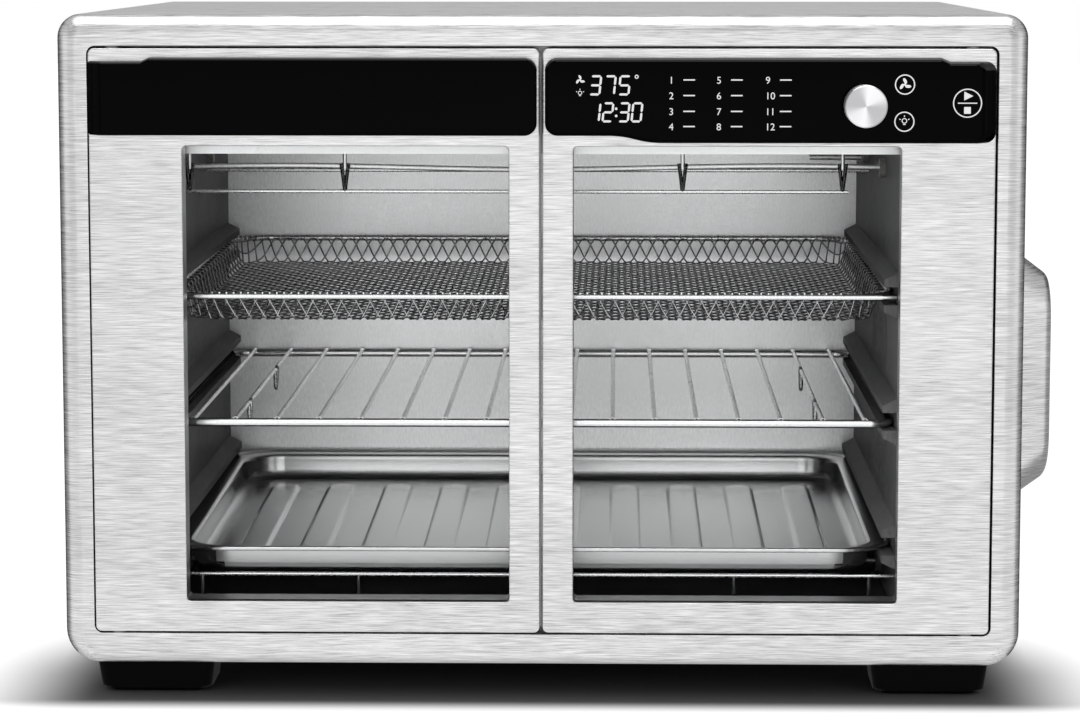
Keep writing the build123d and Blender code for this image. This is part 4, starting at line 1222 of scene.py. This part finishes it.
# Display: two rows of digits, a degree ring, a colon and two signs
displaySet = {
    "rows": [
        {"digits": "375", "left": 23.3, "low": 295.2, "pitch": 6.9, "width": 4.6, "gap": 0},
        {"digits": "1230", "left": 23.3, "low": 282.4, "pitch": 6.1, "width": 4.3, "gap": 1.6},
    ],
    "height": 8.6,
    "degree": (45.6, 303.6, 0.95, 0.45),
    "colon": ((35.9, 285.0, 0.62), (35.9, 288.4, 0.62)),
    "fan": (18.7, 302.0, 2.3),
    "lamp": (18.7, 295.6, 2.0),
}
for row in displaySet["rows"]:
    for place, digit in enumerate(row["digits"]):
        left = row["left"] + place * row["pitch"] + (row["gap"] if place > 1 else 0)
        addDigit(digit, left, row["low"], row["width"], displaySet["height"])
addRing(*displaySet["degree"])
for dot in displaySet["colon"]:
    addDisc(*dot)
addFanSign(*displaySet["fan"])
addLampSign(*displaySet["lamp"])

# Rings: fan, lamp, and start with stop
ringSet = {
    "rings": ((172.8, 300.0, 4.8), (172.7, 282.4, 4.8), (202.5, 291.2, 6.9)),
    "line": 0.55,
    "fan": (172.8, 300.0, 3.0),
    "lamp": (172.7, 282.4, 2.6),
    "start": ((200.9, 292.5), (205.2, 294.6), (200.9, 296.7)),
    "between": ((197.9, 291.2), (207.1, 291.2), 0.5),
    "stop": ((200.9, 286.2), (204.1, 286.2), (204.1, 289.4), (200.9, 289.4)),
}
for ring in ringSet["rings"]:
    addRing(*ring, ringSet["line"])
addFanSign(*ringSet["fan"])
addLampSign(*ringSet["lamp"])
addPolygon(ringSet["start"])
addBar(*ringSet["between"])
addPolygon(ringSet["stop"])

# Numbered keys with a short line beside each number
keySet = {
    "columns": (61.2, 83.8, 107.0),
    "rows": (302.1, 294.7, 287.2, 280.0),
    "height": 3.5 * mm,
    "fontScale": 1.35,
    "left": 0.3,
    "line": (6.6, 12.1),
    "lineWidth": 0.6,
}
for column, keyX in enumerate(keySet["columns"]):
    for row, keyZ in enumerate(keySet["rows"]):
        words = bpy.data.curves.new("keyNumber", "FONT")
        words.body = str(column * len(keySet["rows"]) + row + 1)
        words.size = keySet["height"] * keySet["fontScale"]
        flat = curveMesh(words)
        corner = (markX + (keyX - keySet["left"]) * mm, markY, keyZ * mm - keySet["height"] / 2)
        flat.transform(Matrix.Translation(corner) @ Matrix.Rotation(math.pi / 2, 4, "X"))
        markBm.from_mesh(flat)
        bpy.data.meshes.remove(flat)
        start, end = ((keyX + reach, keyZ) for reach in keySet["line"])
        addBar(start, end, keySet["lineWidth"])
makePiece(markBm, "controlMarks", whitePrintGlow, "right_door")
print("control marks made")


# Camera, floor and light
cameraSet = {
    "place": (0.02485, -1.84175, 0.366),
    "pitch": 6.748,
    "yaw": 1.258,
    "lens": 116.1,
    "sensor": 36,
}
camera = bpy.data.objects.new("camera", bpy.data.cameras.new("camera"))
camera.data.lens = cameraSet["lens"]
camera.data.sensor_width = cameraSet["sensor"]
camera.data.sensor_fit = "HORIZONTAL"
camera.location = cameraSet["place"]
camera.rotation_euler = (math.radians(90 - cameraSet["pitch"]), 0, math.radians(cameraSet["yaw"]))
scene.collection.objects.link(camera)
scene.camera = camera
scene.view_settings.view_transform = "Standard"

floorSet = {
    **greys(0.27, 0.2754),
    "half": 9.0,
    "cloud": (3, 3, 3),
    "roughness": 0.8,
    "specular": 0.1,
    "lift": (0.0, 1.0),
    "paintedShadowFade": (0.0, 0.08),
    "seenThrough": 1.0,
    "shadeDepth": 0.05,
    "before": 2.8,
    "behind": 0.5,
    "outside": 30.0,
    "mirror": (1.0, 0.88),
    "mirrorFade": (0.1, 0.7),
    "mirrorNear": (-0.04, 0.01),
    "mirrorPaintedShade": 0.3,
    "firstBounce": 1.5,
}
floorBm = bmesh.new()
bmesh.ops.create_grid(floorBm, x_segments=1, y_segments=1, size=floorSet["half"])
floorMesh = bpy.data.meshes.new("floor")
floorBm.to_mesh(floorMesh)
floorBm.free()
floor = bpy.data.objects.new("floor", floorMesh)
scene.collection.objects.link(floor)


def shadowReach(calc, parts):
    # distance from the strip of floor under the oven's front, short before it and long behind it; the
    # floor's glow fades out inside this reach, which paints the oven's shadow
    middle = (wrapLow.x + wrapHigh.x) / 2
    halfWidth = wrapHigh.x - middle - frameSet["bottomCorner"]
    across = calc("ABSOLUTE", calc("SUBTRACT", parts.outputs["X"], middle))
    across = calc("MAXIMUM", calc("SUBTRACT", across, halfWidth), 0)
    inward = calc("SUBTRACT", parts.outputs["Y"], faceY)
    before = calc("MAXIMUM", calc("MULTIPLY", inward, -floorSet["before"]), 0)
    behind = calc("SUBTRACT", inward, floorSet["shadeDepth"])
    behind = calc("MAXIMUM", calc("MULTIPLY", behind, floorSet["behind"]), 0)
    outside = calc("MINIMUM", calc("MULTIPLY", across, floorSet["outside"]), 1)
    past = calc("MAXIMUM", calc("SUBTRACT", inward, wrapHigh.y - faceY), 0)
    along = calc("ADD", calc("ADD", before, calc("MULTIPLY", behind, outside)), past)
    return calc("SQRT", calc("ADD", calc("POWER", across, 2), calc("POWER", along, 2)))


def floorMaterial():
    material, tree, shader = newMaterial("studioFloor")
    calc = functools.partial(measured, tree)
    cloud = noiseField(tree, floorSet["cloud"], noiseSet["cloudDetail"])
    tone = twoTone(tree, ranged(tree, cloud, noiseSet["span"]), floorSet)
    tree.links.new(tone, shader.inputs["Base Color"])
    setInputs(shader, {
        "Roughness": floorSet["roughness"],
        "Specular IOR Level": floorSet["specular"],
        "Emission Color": (1, 1, 1, 1),
    })
    path = addNode(tree, "ShaderNodeLightPath")
    place = addNode(tree, "ShaderNodeTexCoord")
    parts = addNode(tree, "ShaderNodeSeparateXYZ")
    tree.links.new(place.outputs["Object"], parts.inputs[0])
    # the floor glows white for the camera except near the oven, where the glow fades out: a painted shadow
    paintedShadowFade = ranged(tree, shadowReach(calc, parts), floorSet["paintedShadowFade"], floorSet["lift"],
                  interpolation_type="SMOOTHSTEP")
    lift = calc("MULTIPLY", path.outputs["Is Camera Ray"], paintedShadowFade)
    aside = calc("ABSOLUTE", parts.outputs["X"])
    mirror = ranged(tree, aside, floorSet["mirrorFade"], floorSet["mirror"])
    # reflections of the floor are dimmed under the oven: painted shade in the reflections
    ahead = calc("SUBTRACT", faceY, parts.outputs["Y"])
    near = ranged(tree, ahead, floorSet["mirrorNear"], (floorSet["mirrorPaintedShade"], 1))
    early = calc("LESS_THAN", path.outputs["Ray Depth"], floorSet["firstBounce"])
    first = calc("MULTIPLY", path.outputs["Is Glossy Ray"], early)
    total = calc("MULTIPLY_ADD", first, calc("MULTIPLY", mirror, near), lift)
    through = calc("MULTIPLY", path.outputs["Is Transmission Ray"], floorSet["seenThrough"])
    tree.links.new(calc("ADD", total, through), shader.inputs["Emission Strength"])
    return material


floorMesh.materials.append(floorMaterial())

lampSet = {
    "frontBox": {"place": (0.0, -2.6, 0.62), "aim": (0, -0.15, 0.2), "size": (1.5, 1.2), "power": 3.2},
    "highBox": {"place": (0.0, -1.7, 1.45), "aim": (0, 0.1, 0.15), "size": (1.4, 0.5), "power": 1.0},
    "topBox": {"place": (0.0, -0.3, 1.7), "aim": (0, -0.05, 0.2), "size": (1.7, 1.3), "power": 16},
    "leftBox": {"place": (-2.2, -0.8, 0.6), "aim": (0, 0, 0.2), "size": (1.2, 1.1), "power": 1},
    "rightBox": {"place": (2.2, -0.8, 0.6), "aim": (0, 0, 0.2), "size": (1.2, 1.1), "power": 1.5},
    "backBox": {"place": (0.0, 2.4, 1.2), "aim": (0, 0, 0.2), "size": (1.6, 1.2), "power": 3.5},
}
for lampName, lamp in lampSet.items():
    light = bpy.data.lights.new(lampName, "AREA")
    light.shape = "RECTANGLE"
    light.size, light.size_y = lamp["size"]
    light.energy = lamp["power"]
    lampObject = bpy.data.objects.new(lampName, light)
    lampObject.location = lamp["place"]
    lampObject.visible_diffuse = False
    aim = Vector(lamp["aim"]) - Vector(lamp["place"])
    lampObject.rotation_euler = aim.to_track_quat("-Z", "Y").to_euler()
    scene.collection.objects.link(lampObject)

worldSet = {"fill": 0.32, "seen": 1.0, "mirror": (0.58, 0.08), "turn": (0.15, 0.55), "rise": -0.8}
world = bpy.data.worlds.new("studio")
world.use_nodes = True
scene.world = world
tree = world.node_tree
background = tree.nodes["Background"]
background.inputs["Color"].default_value = (1, 1, 1, 1)
path = addNode(tree, "ShaderNodeLightPath")
heading = addNode(tree, "ShaderNodeTexCoord")
parts = addNode(tree, "ShaderNodeSeparateXYZ")
tree.links.new(heading.outputs["Generated"], parts.inputs[0])
rearward = measured(tree, "MULTIPLY_ADD", parts.outputs["Z"], worldSet["rise"], parts.outputs["Y"])
turned = ranged(tree, rearward, worldSet["turn"], worldSet["mirror"])
seen = measured(tree, "MAXIMUM", path.outputs["Is Camera Ray"], path.outputs["Is Transmission Ray"])
mirrored = addNode(tree, "ShaderNodeMix", {"A": worldSet["fill"]})
level = addNode(tree, "ShaderNodeMix", {"B": worldSet["seen"]})
tree.links.new(path.outputs["Is Glossy Ray"], mirrored.inputs["Factor"])
tree.links.new(turned, mirrored.inputs["B"])
tree.links.new(seen, level.inputs["Factor"])
tree.links.new(mirrored.outputs["Result"], level.inputs["A"])
tree.links.new(level.outputs["Result"], background.inputs["Strength"])
print("camera, floor and light ready")
